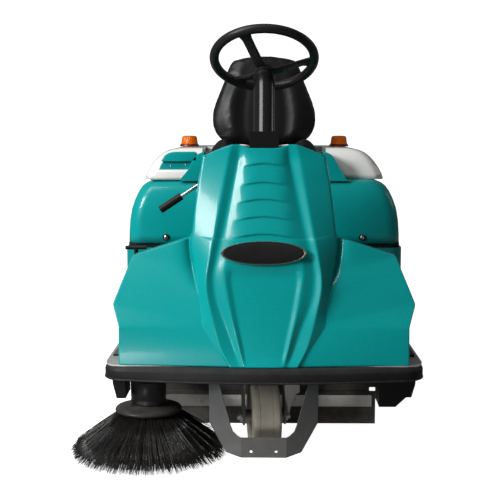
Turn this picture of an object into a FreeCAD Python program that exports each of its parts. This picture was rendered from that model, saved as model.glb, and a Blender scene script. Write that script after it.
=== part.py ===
"""Ride-on sweeper: a three-wheeled battery machine with one side brush, a main brush, a tilting hood and a
sliding rear hopper. Millimetres, +Z up. The machine drives towards -Y. X is measured here from the machine's
centre plane, and every solid is moved by ROW_SHIFT_X when it is written, so that the origin lies on the floor
under the middle of the overall box."""
import FreeCAD, Part
import math
import os

V = FreeCAD.Vector
X_AXIS, Y_AXIS, Z_AXIS = V(1, 0, 0), V(0, 1, 0), V(0, 0, 1)

# ---- overall --------------------------------------------------------------------------------------------
ROW_SHIFT_X = 58.0          # centre plane to the middle of the overall box, which the side brush pushes to -X
FRONT_Y = -740.0            # front of the bumper on the centre plane
REAR_Y = 745.0              # outer face of the body's rear wall
BODY_HALF_W = 481.0         # lower body, outer
PLATE_HALF_W = 478.0        # floor plate
FIT = 0.05                  # radial running clearance of a shaft in its hole
SEAT_GAP = 0.3              # gap left between pieces that rest on each other but move apart
SHEET = 5.0                 # wall of the moulded shells

# ---- chassis --------------------------------------------------------------------------------------------
DECK_Z = 310.0              # top of the chassis rails, underside of the floor plate
PLATE_T = 6.0
FLOOR_Z = DECK_Z + PLATE_T
RAIL_H, RAIL_W, RAIL_WALL = 40.0, 35.0, 3.0
RAIL_IN = 372.0             # inner face of each rail
RAIL_OUT = RAIL_IN + RAIL_W
RAIL_Z = DECK_Z - RAIL_H
RAIL_FRONT = -640.0
RAIL_REAR = REAR_Y - SHEET
CROSS_D = 40.0
PLATE_FRONT = -690.0
PLATE_REAR = -136.0
PLATE_R = 70.0
MAT_T = 6.0

# ---- wheels ---------------------------------------------------------------------------------------------
FRONT_R, FRONT_W, FRONT_WHEEL_Y = 110.0, 90.0, -500.0
FRONT_HUB_R, FRONT_AXLE_R = 60.0, 10.0
STEER_REST = 7.0            # the front wheel stands turned this far, degrees
KINGPIN_R = 20.0
REAR_R, REAR_W, REAR_WHEEL_Y, REAR_WHEEL_X = 125.0, 60.0, 330.0, 438.0
REAR_HUB_R, REAR_AXLE_R = 70.0, 12.5
AXLE_BRACKET_X, AXLE_BRACKET_T = 389.0, 10.0

# ---- side brush -----------------------------------------------------------------------------------------
SIDE_X, SIDE_Y, SIDE_R = -360.0, -545.0, 240.0
SIDE_SHAFT_R = 10.0
SIDE_PIVOT_Y, SIDE_PIVOT_R = -335.0, 8.0
SIDE_PIVOT_Z = DECK_Z - 70.0
SIDE_MOTOR_R, SIDE_MOTOR_H = 55.0, 70.0
SIDE_MOTOR_Z = SIDE_PIVOT_Z - 2.0 - SIDE_MOTOR_H
SIDE_DISC_R, SIDE_DISC_T = 104.0, 26.0
SIDE_DISC_Z = SIDE_MOTOR_Z - 2.0 - SIDE_DISC_T
SIDE_ARM_W, SIDE_ARM_T = 26.0, 6.0
BRISTLE_CLEAR = 3.0         # bristle tips above the floor

# ---- main brush -----------------------------------------------------------------------------------------
MAIN_R, MAIN_Y, MAIN_HALF_L, MAIN_CORE_R = 118.0, -55.0, 330.0, 45.0
MAIN_Z = MAIN_R + BRISTLE_CLEAR
MAIN_AXLE_R = 10.0
MAIN_PIVOT_Y, MAIN_PIVOT_Z, MAIN_PIVOT_R = 60.0, 225.0, 8.0
HOUSING_FRONT, HOUSING_REAR = -203.0, 95.0
HOUSING_HALF_W, HOUSING_T = 359.0, 4.0
HOUSING_TOP = RAIL_Z
HOUSING_LOW = 64.0
FLAP_T, STRIP_T = 5.0, 3.0

# ---- front -------------------------------------------------------------------------------------------------
BUMPER_HALF_W, BUMPER_D = 484.0, 45.0
BUMPER_Z, BUMPER_TOP = DECK_Z - 40.0, DECK_Z + 4.0
BUMPER_END_Y, BUMPER_BEVEL = -560.0, 8.0
GUARD_T, GUARD_LOW, GUARD_SILL = 6.0, 50.0, 110.0
GUARD_FACET, GUARD_SWEEP = 67.0, 20.0      # half width of the flat front, sweep-back of the sides in degrees
GUARD_HALF_W, GUARD_LEG = 163.0, 30.0
GUARD_HOLE_X, GUARD_HOLE_Z, GUARD_HOLE_R = 37.0, 68.0, 4.5
COWL_T = 5.0
PANEL_Y, PANEL_T = -535.0, 5.0       # back edge of the cowl, and the panel that closes it

# ---- steering -------------------------------------------------------------------------------------------
WHEEL_Y, WHEEL_Z, COLUMN_TILT = -345.0, 1238.0, 31.0
RIM_R, RIM_TUBE_R = 160.0, 15.0
HUB_R, HUB_LOW, HUB_HIGH = 25.0, -70.0, -38.0
SPOKE_W, SPOKE_T, SPOKE_TURN = 32.0, 10.0, 35.0
COLUMN_R, COLUMN_WALL, SHAFT_R = 33.0, 3.0, 10.0
COLLAR_HALF_W, COLLAR_Z, COLLAR_TOP = 45.0, 945.0, 1008.0
COLLAR_FRONT, COLLAR_REAR = -552.0, -466.0
COLLAR_FLOOR = 15.0         # thickness of the collar under the tube

# ---- hood and seat --------------------------------------------------------------------------------------
BODY_FRONT = -135.0
BODY_R = 45.0
LOWER_TOP, LOWER_BOTTOM = 606.0, 170.0
LEDGE_W = 21.0
SEAL_H, SEAL_W = 15.0, 12.0
HOOD_Z = LOWER_TOP + SEAL_H + SEAT_GAP
HOOD_SHELF, SHELF_T = 840.0, 5.0
CHEEK_IN, CHEEK_TOP, CHEEK_REAR = 205.0, 936.0, 235.0
COVER_TOP = 950.0
COVER_FRONT = -48.0
HINGE_Y, HINGE_Z, HINGE_R = 757.0, 613.0, 6.0
BEACON_X, BEACON_Y, BEACON_R = 287.0, 300.0, 37.0
SEAT_HALF_W = 197.0
SEAT_RAIL_X, SEAT_RAIL_H = 130.0, 12.0
PAN_T = 6.0
CUSHION_H = 76.0
BACK_LEAN = 8.0

# ---- hopper ---------------------------------------------------------------------------------------------
HOPPER_HALF_W, HOPPER_FRONT, HOPPER_REAR = 350.0, 112.0, 738.0
HOPPER_Z, HOPPER_TOP, HOPPER_T = 62.0, 260.0, 4.0
RUNNER_Z, RUNNER_T = HOPPER_TOP - 44.0, 4.0

# ---- controls -------------------------------------------------------------------------------------------
PEDAL_X, PEDAL_PIVOT_Y, PEDAL_PIVOT_Z = 150.0, -405.0, FLOOR_Z + 20.0
PEDAL_L, PEDAL_W, PEDAL_T, PEDAL_RISE = 118.0, 70.0, 6.0, 30.0
PEDAL_PIN_R = 5.0
LEVER_X, LEVER_Y, LEVER_Z = -150.0, -492.0, 878.0
LEVER_DROP = 33.3           # the lever points this far below the horizontal, degrees
LEVER_L, LEVER_ROD_R, GRIP_L, GRIP_R = 206.0, 5.5, 78.0, 12.0
LEVER_PIN_R = 6.0
TEE_X, TEE_Y, TEE_TOP, TEE_HALF_W = -438.0, -185.0, 612.0, 36.0
TEE_PIVOT_Z, TEE_R = FLOOR_Z + 24.0, 7.0


# ---- small helpers --------------------------------------------------------------------------------------
def box(x0, x1, y0, y1, z0, z1):
    """A box between two corners."""
    return Part.makeBox(x1 - x0, y1 - y0, z1 - z0, V(x0, y0, z0))


def rod(r, start, end):
    """A round bar from one point to another."""
    start, end = V(*start), V(*end)
    return Part.makeCylinder(r, (end - start).Length, start, end - start)


def ring(r_out, r_in, start, end):
    """A round tube from one point to another."""
    return rod(r_out, start, end).cut(rod(r_in, start, end))


def prism(points, base, direction):
    """A polygon of 3-D points, pushed along a direction."""
    wire = Part.makePolygon([V(*p) for p in points] + [V(*points[0])])
    return Part.Face(wire).extrude(V(*direction)) if base is None else \
        Part.Face(wire).extrude(V(*direction)).translated(V(*base))


def prism_xz(points, y0, y1):
    """A polygon in X and Z, extruded from y0 to y1."""
    return prism([(x, y0, z) for x, z in points], None, (0, y1 - y0, 0))


def prism_yz(points, x0, x1):
    """A polygon in Y and Z, extruded from x0 to x1."""
    return prism([(x0, y, z) for y, z in points], None, (x1 - x0, 0, 0))


def prism_xy(points, z0, z1):
    """A polygon in X and Y, extruded from z0 to z1."""
    return prism([(x, y, z0) for x, y in points], None, (0, 0, z1 - z0))


def fuse(shapes):
    """One solid, or group of solids, from overlapping or touching shapes."""
    shapes = list(shapes)
    whole = shapes[0] if len(shapes) == 1 else shapes[0].fuse(shapes[1:])
    return whole.removeSplitter()


def mirrored(shape):
    """The same shape on the other side of the centre plane."""
    return shape.mirror(V(0, 0, 0), X_AXIS)


def both(shape):
    """A shape and its mirror image as one group."""
    return Part.makeCompound([shape, mirrored(shape)])


def rounded_wire(half_w, y0, y1, r, z):
    """A rectangle in X and Y with round corners."""
    a, q = half_w - r, r * (1 - math.sqrt(0.5))
    edges = [
        Part.LineSegment(V(-a, y0, z), V(a, y0, z)).toShape(),
        Part.Arc(V(a, y0, z), V(half_w - q, y0 + q, z), V(half_w, y0 + r, z)).toShape(),
        Part.LineSegment(V(half_w, y0 + r, z), V(half_w, y1 - r, z)).toShape(),
        Part.Arc(V(half_w, y1 - r, z), V(half_w - q, y1 - q, z), V(a, y1, z)).toShape(),
        Part.LineSegment(V(a, y1, z), V(-a, y1, z)).toShape(),
        Part.Arc(V(-a, y1, z), V(q - half_w, y1 - q, z), V(-half_w, y1 - r, z)).toShape(),
        Part.LineSegment(V(-half_w, y1 - r, z), V(-half_w, y0 + r, z)).toShape(),
        Part.Arc(V(-half_w, y0 + r, z), V(q - half_w, y0 + q, z), V(-a, y0, z)).toShape(),
    ]
    return Part.Wire(edges)


def rounded_box(half_w, y0, y1, r, z0, z1):
    """A block with round upright corners."""
    return Part.Face(rounded_wire(half_w, y0, y1, r, z0)).extrude(V(0, 0, z1 - z0))


def loft(wires):
    """A ruled solid through closed wires of the same number of edges."""
    return Part.makeLoft(wires, True, True)


def revolve(profile, x, y):
    """A profile of (radius, z) points turned about an upright axis at (x, y)."""
    wire = Part.makePolygon([V(x + r, y, z) for r, z in profile] + [V(x + profile[0][0], y, profile[0][1])])
    return Part.Face(wire).revolve(V(x, y, 0), Z_AXIS, 360)


def rounded_edges(shape, radius, wanted):
    """Fillets the edges that wanted(edge) picks."""
    edges = [e for e in shape.Edges if wanted(e)]
    return shape.makeFillet(radius, edges) if edges else shape


def tube_box(x0, x1, y0, y1, z0, z1, along):
    """A square tube with RAIL_WALL walls, open at both ends of the axis named by along."""
    w = RAIL_WALL
    inner = {
        "x": (x0, x1, y0 + w, y1 - w, z0 + w, z1 - w),
        "y": (x0 + w, x1 - w, y0, y1, z0 + w, z1 - w),
    }[along]
    return box(x0, x1, y0, y1, z0, z1).cut(box(*inner))


# ---- chassis pieces -------------------------------------------------------------------------------------
def side_brush_ears():
    """Two lugs under the left rail that carry the side brush arm, with their pin."""
    half, gap = SIDE_ARM_W, 2.0
    ears = []
    for side in (-1, 1):
        inner = SIDE_X + side * (half + gap)
        outer = inner + side * 6.0
        low, high = min(inner, outer), max(inner, outer)
        ears.append(prism_yz([(SIDE_PIVOT_Y - 14, SIDE_PIVOT_Z - 18), (SIDE_PIVOT_Y + 14, SIDE_PIVOT_Z - 18),
                              (SIDE_PIVOT_Y + 48, RAIL_Z + 2), (SIDE_PIVOT_Y - 14, RAIL_Z + 2)], low, high))
    reach = half + gap + 6.0
    pin = rod(SIDE_PIVOT_R, (SIDE_X - reach, SIDE_PIVOT_Y, SIDE_PIVOT_Z),
              (SIDE_X + reach, SIDE_PIVOT_Y, SIDE_PIVOT_Z))
    return [*ears, pin]


def chassis_frame():
    """Rails, cross tubes, kingpin plate, axle brackets, hopper runners and the deck over the brush."""
    rail = tube_box(RAIL_IN, RAIL_OUT, RAIL_FRONT, RAIL_REAR, RAIL_Z, DECK_Z, "y")
    parts = [rail, mirrored(rail)]
    for y0 in (RAIL_FRONT, SIDE_PIVOT_Y + 35.0, RAIL_REAR - CROSS_D):
        parts.append(tube_box(-RAIL_IN - 1, RAIL_IN + 1, y0, y0 + CROSS_D, RAIL_Z, DECK_Z, "x"))
    king_plate = box(-RAIL_IN - 1, RAIL_IN + 1, RAIL_FRONT + CROSS_D - 1, FRONT_WHEEL_Y + 100,
                     DECK_Z - 8, DECK_Z)
    parts.append(king_plate)
    bracket = box(AXLE_BRACKET_X, AXLE_BRACKET_X + AXLE_BRACKET_T, REAR_WHEEL_Y - 40, REAR_WHEEL_Y + 40,
                  REAR_R - 35, RAIL_Z + 1)
    parts += [bracket, mirrored(bracket)]
    runner = fuse([
        box(RAIL_IN - RUNNER_T, RAIL_IN + 1, HOPPER_FRONT, RAIL_REAR - CROSS_D, RUNNER_Z, DECK_Z - 10),
        box(HOPPER_HALF_W + 6, RAIL_IN, HOPPER_FRONT, RAIL_REAR - CROSS_D, RUNNER_Z, RUNNER_Z + RUNNER_T),
    ])
    parts += [runner, mirrored(runner)]
    parts.append(box(-RAIL_OUT, RAIL_OUT, BODY_FRONT + 12, 540, DECK_Z, DECK_Z + 4))
    parts += side_brush_ears()
    whole = fuse(parts)
    whole = whole.cut(rod(KINGPIN_R, (0, FRONT_WHEEL_Y, DECK_Z - 20), (0, FRONT_WHEEL_Y, DECK_Z + 1)))
    hole = rod(REAR_AXLE_R + FIT, (AXLE_BRACKET_X - 1, REAR_WHEEL_Y, REAR_R),
               (AXLE_BRACKET_X + AXLE_BRACKET_T + 1, REAR_WHEEL_Y, REAR_R))
    return whole.cut(hole).cut(mirrored(hole))


def pedal_lugs(x):
    """Two ears on the floor plate with a pin for one pedal."""
    half = PEDAL_W / 2 + 1.5
    ears = [box(x + s * half - (6 if s < 0 else 0), x + s * half + (6 if s > 0 else 0),
                PEDAL_PIVOT_Y - 10, PEDAL_PIVOT_Y + 10, FLOOR_Z - 1, PEDAL_PIVOT_Z + 9) for s in (-1, 1)]
    pin = rod(PEDAL_PIN_R, (x - half - 6, PEDAL_PIVOT_Y, PEDAL_PIVOT_Z),
              (x + half + 6, PEDAL_PIVOT_Y, PEDAL_PIVOT_Z))
    return [*ears, pin]


def tee_lugs():
    """Two ears on the floor plate with a pin for the side brush lever."""
    ears = [box(TEE_X + s * 11 - (4 if s < 0 else 0), TEE_X + s * 11 + (4 if s > 0 else 0),
                TEE_Y - 12, TEE_Y + 12, FLOOR_Z - 1, TEE_PIVOT_Z + 10) for s in (-1, 1)]
    pin = rod(LEVER_PIN_R, (TEE_X - 15, TEE_Y, TEE_PIVOT_Z), (TEE_X + 15, TEE_Y, TEE_PIVOT_Z))
    return [*ears, pin]


def plate_outline(z0, z1):
    """The floor plate's outline as a block: straight sides and back, round front corners."""
    return rounded_box(PLATE_HALF_W, PLATE_FRONT, PLATE_REAR + PLATE_R + 20, PLATE_R, z0, z1).cut(
        box(-PLATE_HALF_W - 1, PLATE_HALF_W + 1, PLATE_REAR, PLATE_REAR + PLATE_R + 40, z0 - 1, z1 + 1))


def floor_plate():
    """The light painted platform under the driver's feet, with the pedal and lever lugs welded on."""
    plate = plate_outline(DECK_Z, FLOOR_Z)
    plate = plate.cut(rod(KINGPIN_R + 12, (0, FRONT_WHEEL_Y, DECK_Z - 1), (0, FRONT_WHEEL_Y, FLOOR_Z + 1)))
    return fuse([plate, *pedal_lugs(-PEDAL_X), *pedal_lugs(PEDAL_X), *tee_lugs()])


def foot_mats():
    """Two ribbed rubber mats, cut out round the pedal and lever lugs, with a strip beside the cowl."""
    z0, z1 = FLOOR_Z + SEAT_GAP, FLOOR_Z + SEAT_GAP + MAT_T
    front, back, outer = PANEL_Y + PANEL_T + 4.0, -150.0, PLATE_HALF_W - 12.0
    mats = []
    for side in (-1, 1):
        x0, x1 = sorted((side * 22.0, side * outer))
        strip = sorted((side * (outer - 25), side * outer))
        mat = fuse([box(x0, x1, front, back, z0, z1), box(*strip, front - 34, front + 1, z0, z1)])
        for k in range(11):
            y = front + 26 + 30.0 * k
            mat = mat.cut(box(x0 + 12, x1 - 12, y, y + 12, z1 - 2, z1 + 1))
        mat = mat.cut(box(side * PEDAL_X - 46, side * PEDAL_X + 46, PEDAL_PIVOT_Y - 16, PEDAL_PIVOT_Y + 16,
                          z0 - 1, z1 + 1))
        mats.append(mat)
    lever_gap = box(TEE_X - 20, TEE_X + 20, TEE_Y - 18, TEE_Y + 18, z0 - 1, z1 + 1)
    return Part.makeCompound([m.cut(lever_gap) for m in mats])


def bumper_wire(inset, z):
    """The bumper's plan at one height: a bowed front and round corners, inset all round by a distance."""
    w, end = BUMPER_HALF_W - inset, BUMPER_END_Y
    corner_x, corner_y, front = 410.0 - inset / 2, FRONT_Y + 38.0 + inset, FRONT_Y + inset
    side_y = -620.0 + inset / 2
    return Part.Wire([
        Part.Arc(V(-corner_x, corner_y, z), V(0, front, z), V(corner_x, corner_y, z)).toShape(),
        Part.Arc(V(corner_x, corner_y, z), V(w - 19, corner_y + 27, z), V(w, side_y, z)).toShape(),
        Part.LineSegment(V(w, side_y, z), V(w, end, z)).toShape(),
        Part.LineSegment(V(w, end, z), V(-w, end, z)).toShape(),
        Part.LineSegment(V(-w, end, z), V(-w, side_y, z)).toShape(),
        Part.Arc(V(-w, side_y, z), V(-w + 19, corner_y + 27, z), V(-corner_x, corner_y, z)).toShape(),
    ])


def bumper_outline(inset, z0, z1):
    """The bumper's plan as an upright block."""
    return Part.Face(bumper_wire(inset, z0)).extrude(V(0, 0, z1 - z0))


def front_bumper():
    """A dark moulded bumper round the front of the floor plate, bevelled above and below."""
    b = BUMPER_BEVEL
    outer = loft([bumper_wire(3, BUMPER_Z), bumper_wire(0, BUMPER_Z + 3),
                  bumper_wire(0, BUMPER_TOP - b), bumper_wire(b, BUMPER_TOP)])
    inner = bumper_outline(BUMPER_D, BUMPER_Z - 1, BUMPER_TOP + 1).cut(box(-600, 600, -800, 0, DECK_Z, 400))
    behind = box(-BUMPER_HALF_W + BUMPER_D, BUMPER_HALF_W - BUMPER_D, BUMPER_END_Y - 60, BUMPER_END_Y + 1,
                 BUMPER_Z - 1, BUMPER_TOP + 1)
    return outer.cut(inner).cut(plate_outline(DECK_Z, FLOOR_Z + 5)).cut(behind)


def guard_path(y_shift):
    """Plan points of the guard plate's front face, moved back by y_shift."""
    back = (GUARD_HALF_W - GUARD_FACET) * math.tan(math.radians(GUARD_SWEEP))
    front = FRONT_Y + 3.0 + y_shift
    return [(-GUARD_HALF_W, front + back), (-GUARD_FACET, front), (GUARD_FACET, front),
            (GUARD_HALF_W, front + back)]


def front_guard():
    """A bent steel plate in front of the drive wheel: three facets, two legs and two top flanges."""
    face, rear = guard_path(0), guard_path(GUARD_T)
    bent = prism_xy(face + rear[::-1], GUARD_LOW - 10, RAIL_Z)
    outline = prism_xz([(-GUARD_HALF_W, RAIL_Z), (-GUARD_HALF_W + 2, 146), (-112, 62), (-GUARD_FACET, GUARD_LOW),
                        (GUARD_FACET, GUARD_LOW), (112, 62), (GUARD_HALF_W - 2, 146), (GUARD_HALF_W, RAIL_Z)],
                       -800, -650)
    opening = prism_xz([(-GUARD_HALF_W + GUARD_LEG, RAIL_Z + 1), (-98, 146), (-90, 126), (-76, 114),
                        (-GUARD_FACET, GUARD_SILL), (GUARD_FACET, GUARD_SILL), (76, 114), (90, 126), (98, 146),
                        (GUARD_HALF_W - GUARD_LEG, RAIL_Z + 1)], -801, -649)
    plate = bent.common(outline.cut(opening))
    for x in (-GUARD_HOLE_X, GUARD_HOLE_X):
        plate = plate.cut(rod(GUARD_HOLE_R, (x, FRONT_Y - 5, GUARD_HOLE_Z), (x, FRONT_Y + 15, GUARD_HOLE_Z)))
    back = (GUARD_HALF_W - GUARD_LEG - GUARD_FACET) * math.tan(math.radians(GUARD_SWEEP))
    flange = box(GUARD_HALF_W - GUARD_LEG, GUARD_HALF_W, FRONT_Y + 3 + back + GUARD_T + 2,
                 RAIL_FRONT + CROSS_D - 5, RAIL_Z - GUARD_T, RAIL_Z)
    return fuse([plate, flange, mirrored(flange)])


def guard_bolts():
    """Four hex screws that hold the guard's flanges under the front cross tube."""
    x = GUARD_HALF_W - GUARD_LEG / 2
    screws = []
    for side in (-1, 1):
        for y in (RAIL_FRONT + 10, RAIL_FRONT + 26):
            hexagon = [(side * x + 6.5 * math.cos(a * math.pi / 3), y + 6.5 * math.sin(a * math.pi / 3))
                       for a in range(6)]
            screws.append(prism_xy(hexagon, RAIL_Z - GUARD_T - 5, RAIL_Z - GUARD_T))
    return Part.makeCompound(screws)


def corner_skirts():
    """Dark plates under the bumper's ends: a full one on the right, a narrow one beside the side brush."""
    z = RAIL_Z
    right = prism_xz([(352, z), (352, z - 98), (402, z - 98), (434, z - 68), (450, z - 68), (462, z - 26),
                      (462, z)], -615, -500)
    right = right.cut(prism_xz([(356, z - 4), (356, z - 94), (400, z - 94), (433, z - 64), (447, z - 64),
                                (458, z - 25), (458, z - 4)], -611, -499))
    left = prism_xz([(-462, z), (-462, z - 26), (-450, z - 74), (-422, z - 74), (-422, z)], -615, -500)
    left = left.cut(prism_xz([(-458, z - 4), (-458, z - 25), (-447, z - 70), (-426, z - 70),
                              (-426, z - 4)], -611, -499))
    return Part.makeCompound([left, right])


# ---- cowl -----------------------------------------------------------------------------------------------
# Levels of the cowl's steering column: height, then (x, y) of ridge, side and back, each inset by a wall.
COLUMN_LEVELS = [
    (FLOOR_Z, (92, -716), (150, -704), (150, PANEL_Y)),
    (452.0, (148, -694), (200, -664), (200, PANEL_Y)),
    (575.0, (170, -668), (208, -622), (212, PANEL_Y)),
    (690.0, (149, -638.7), (216, -592), (222, PANEL_Y)),
    (862.0, (98, -588), (196, -556), (199, PANEL_Y)),
    (972.0, (84, -566), (176, -548), (180, PANEL_Y)),
]
# Outline of one wing: height, outer x, y of the front face there, and x, y of the same height on the column.
WING_LEVELS = [
    (FLOOR_Z, 436, -684, 90, -714),
    (427.0, 436, -668, 120, -698),
    (493.0, 461, -624, 150, -676),
]
WING_TOP_OUT, WING_TOP_IN = (398.0, -566.0, 633.0), (200.0, -592.0, 690.0)


def column_block(wall, z_low, z_high):
    """The column's outer form, or its cavity when wall is more than nothing."""
    wires = []
    for z, ridge, side, back in COLUMN_LEVELS:
        z = min(max(z, z_low), z_high)
        pts = [(0, ridge[1] + wall), (ridge[0], ridge[1] + wall), (side[0] - wall, side[1] + wall * 0.6),
               (back[0] - wall, back[1] + wall)]
        pts = pts + [(-x, y) for x, y in pts[:0:-1]]
        wires.append(Part.makePolygon([V(x, y, z) for x, y in pts + pts[:1]]))
    return loft(wires)


def wing_block(wall, z_low):
    """One wing's outer form, or its cavity, as a ruled loft with a sloping top edge."""
    wires = []
    for z, out_x, out_y, in_x, in_y in WING_LEVELS:
        z = max(z, z_low)
        pts = [(in_x, in_y + wall), (out_x - wall, out_y + wall), (out_x - wall, PANEL_Y + wall),
               (in_x, PANEL_Y + wall)]
        wires.append(Part.makePolygon([V(x, y, z) for x, y in pts + pts[:1]]))
    out, inn = WING_TOP_OUT, WING_TOP_IN
    pts = [(inn[0] - 20, inn[1] + wall, inn[2] - wall + 5), (out[0] - wall, out[1] + wall, out[2] - wall),
           (out[0] - wall, PANEL_Y + wall, out[2] - wall),
           (inn[0] - 20, PANEL_Y + wall, inn[2] - wall + 5)]
    wires.append(Part.makePolygon([V(*p) for p in pts + pts[:1]]))
    return loft(wires)


def cowl_top_cut():
    """Everything above the cowl's top: sloping shoulders outside the two peaks and a dip between them."""
    return prism_xz([(-260, 1100), (-260, 912), (-183, 934), (-86, 970), (-50, 958), (50, 958), (86, 970),
                     (183, 934), (260, 912), (260, 1100)], -900, -400)


def front_cowl():
    """The front moulding: a tapering column between two faceted wings, open at the back."""
    top = COLUMN_LEVELS[-1][0]
    wing = wing_block(0, FLOOR_Z)
    outer = fuse([column_block(0, FLOOR_Z, top), wing, mirrored(wing)])
    outer = outer.cut(cowl_top_cut())
    low = FLOOR_Z - 1
    hollow_wing = wing_block(COWL_T, low)
    hollow = column_block(COWL_T, low, top + 1).cut(cowl_top_cut().translated(V(0, 0, -COWL_T)))
    hollow = hollow.fuse([hollow_wing, mirrored(hollow_wing)])
    reach = COLLAR_HALF_W + SEAT_GAP
    notch = box(-reach, reach, COLLAR_FRONT - SEAT_GAP, PANEL_Y + 10, COLLAR_Z - 1, COLLAR_TOP)
    return outer.cut(hollow).cut(notch)


def cowl_inner_panel():
    """The driver-side panel that closes the column, with the lift lever's pivot boss."""
    half = [(436, FLOOR_Z), (436, 427), (461, 493), (398, 633), (222, 684), (199, 862), (181, 930),
            (86, COLLAR_Z)]
    panel = prism_xz(half + [(-x, z) for x, z in half[::-1]], PANEL_Y, PANEL_Y + PANEL_T)
    boss = rod(20, (LEVER_X, PANEL_Y + PANEL_T - 1, LEVER_Z), (LEVER_X, LEVER_Y - 8 - SEAT_GAP, LEVER_Z))
    pin = rod(LEVER_PIN_R, (LEVER_X, PANEL_Y + 1, LEVER_Z), (LEVER_X, LEVER_Y + 12, LEVER_Z))
    return fuse([panel, boss, pin])


def badge():
    """A plain oval plaque on the cowl's sloping front."""
    half_w, half_h, t, z = 128.0, 36.0, 3.0, 648.0
    (low_z, low, _, _), (high_z, high, _, _) = COLUMN_LEVELS[2:4]
    slope = (high[1] - low[1]) / (high_z - low_z)
    oval = Part.Face(Part.Wire(Part.Ellipse(V(0, 0, 0), half_w, half_h).toShape())).extrude(V(0, 0, t))
    oval.rotate(V(0, 0, 0), X_AXIS, 90.0 - math.degrees(math.atan(slope)))
    return oval.translated(V(0, low[1] + (z - low_z) * slope - SEAT_GAP, z))


# ---- steering -------------------------------------------------------------------------------------------
def steer_axis():
    """The column's direction, up and back."""
    a = math.radians(COLUMN_TILT)
    return V(0, math.sin(a), math.cos(a))


def on_axis(s):
    """A point on the column's axis, s above the rim's plane."""
    return V(0, WHEEL_Y, WHEEL_Z) + steer_axis() * s


def axis_rod(r, s0, s1):
    """A round bar on the column's axis."""
    return Part.makeCylinder(r, s1 - s0, on_axis(s0), steer_axis())


def tilted(shape):
    """Moves a shape made upright at the origin to the steering wheel's place."""
    shape = shape.copy()
    shape.rotate(V(0, 0, 0), Z_AXIS, SPOKE_TURN)
    shape.rotate(V(0, 0, 0), X_AXIS, -COLUMN_TILT)
    shape.translate(V(0, WHEEL_Y, WHEEL_Z))
    return shape


def steering_wheel():
    """A round rim with a dished hub and three flat spokes, one towards the driver when straight ahead."""
    rim = Part.makeTorus(RIM_R, RIM_TUBE_R)
    hub = Part.makeCylinder(HUB_R, HUB_HIGH - HUB_LOW, V(0, 0, HUB_LOW))
    drop = HUB_HIGH - SPOKE_T
    spoke = prism_xz([(HUB_R - 8, drop), (HUB_R + 6, drop), (RIM_R - 14, -SPOKE_T / 2), (RIM_R, -SPOKE_T / 2),
                      (RIM_R, SPOKE_T / 2), (RIM_R - 18, SPOKE_T / 2), (HUB_R + 4, drop + SPOKE_T),
                      (HUB_R - 8, drop + SPOKE_T)], -SPOKE_W / 2, SPOKE_W / 2)
    spokes = [spoke.rotated(V(0, 0, 0), Z_AXIS, 90.0 + 120.0 * k) for k in range(3)]
    wheel = fuse([rim, hub, *spokes])
    return tilted(wheel.cut(Part.makeCylinder(SHAFT_R + FIT, 200, V(0, 0, -150))))


def steering_wheel_cap():
    """The round cap on the driver's side of the hub."""
    cap = Part.makeCylinder(HUB_R + 4, 9, V(0, 0, HUB_HIGH))
    return tilted(rounded_edges(cap, 3, lambda e: abs(e.BoundBox.ZMin - (HUB_HIGH + 9)) < 0.01))


def steering_column():
    """The round column cover with an end plate that guides the shaft."""
    top = HUB_LOW - 2.0
    tube = axis_rod(COLUMN_R, -400, top).cut(axis_rod(COLUMN_R - COLUMN_WALL, -401, top - 8))
    tube = tube.cut(axis_rod(SHAFT_R + FIT, -402, top + 1))
    return tube.cut(box(-100, 100, -900, 0, 0, COLLAR_Z + COLLAR_FLOOR))


def steering_shaft():
    """The shaft from the hub down into the column."""
    return axis_rod(SHAFT_R, -300, HUB_HIGH)


def column_collar():
    """The square black block where the column leaves the cowl."""
    block = box(-COLLAR_HALF_W, COLLAR_HALF_W, COLLAR_FRONT, COLLAR_REAR, COLLAR_Z, COLLAR_TOP)
    bore = axis_rod(COLUMN_R + FIT, -420, 0)
    return block.cut(bore.cut(box(-100, 100, -900, 0, 0, COLLAR_Z + COLLAR_FLOOR)))


def dash_panel():
    """The small console behind the column, with its key barrel seat and horn button hole."""
    body = prism_yz([(PANEL_Y + PANEL_T, 846), (-478, 846), (-430, 905), (-430, COLLAR_Z),
                     (PANEL_Y + PANEL_T, COLLAR_Z)], -100, 100)
    hollow = prism_yz([(PANEL_Y + PANEL_T + 4, 850), (-480, 850), (-434, 907), (-434, COLLAR_Z - 4),
                       (PANEL_Y + PANEL_T + 4, COLLAR_Z - 4)], -96, 96)
    body = body.cut(hollow)
    for x, r in ((60.0, 9.0), (-72.0, 11.0)):
        body = body.cut(rod(r + FIT, (x, -445, 925), (x, -420, 925)))
    return body


def ignition_key():
    """A round key barrel with its blade bow."""
    barrel = rod(9.0, (60, -440, 925), (60, -427, 925))
    bow = box(58.5, 61.5, -427, -404, 913, 937)
    return fuse([barrel, bow])


def horn_button():
    """A mushroom push button."""
    stem = rod(11.0, (-72, -442, 925), (-72, -424, 925))
    head = rod(15.0, (-72, -424, 925), (-72, -417, 925))
    return fuse([stem, head])


# ---- front wheel ----------------------------------------------------------------------------------------
def steered(shape):
    """Turns a shape about the kingpin by the resting steer angle."""
    shape = shape.copy()
    shape.rotate(V(0, FRONT_WHEEL_Y, 0), Z_AXIS, STEER_REST)
    return shape


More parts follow.
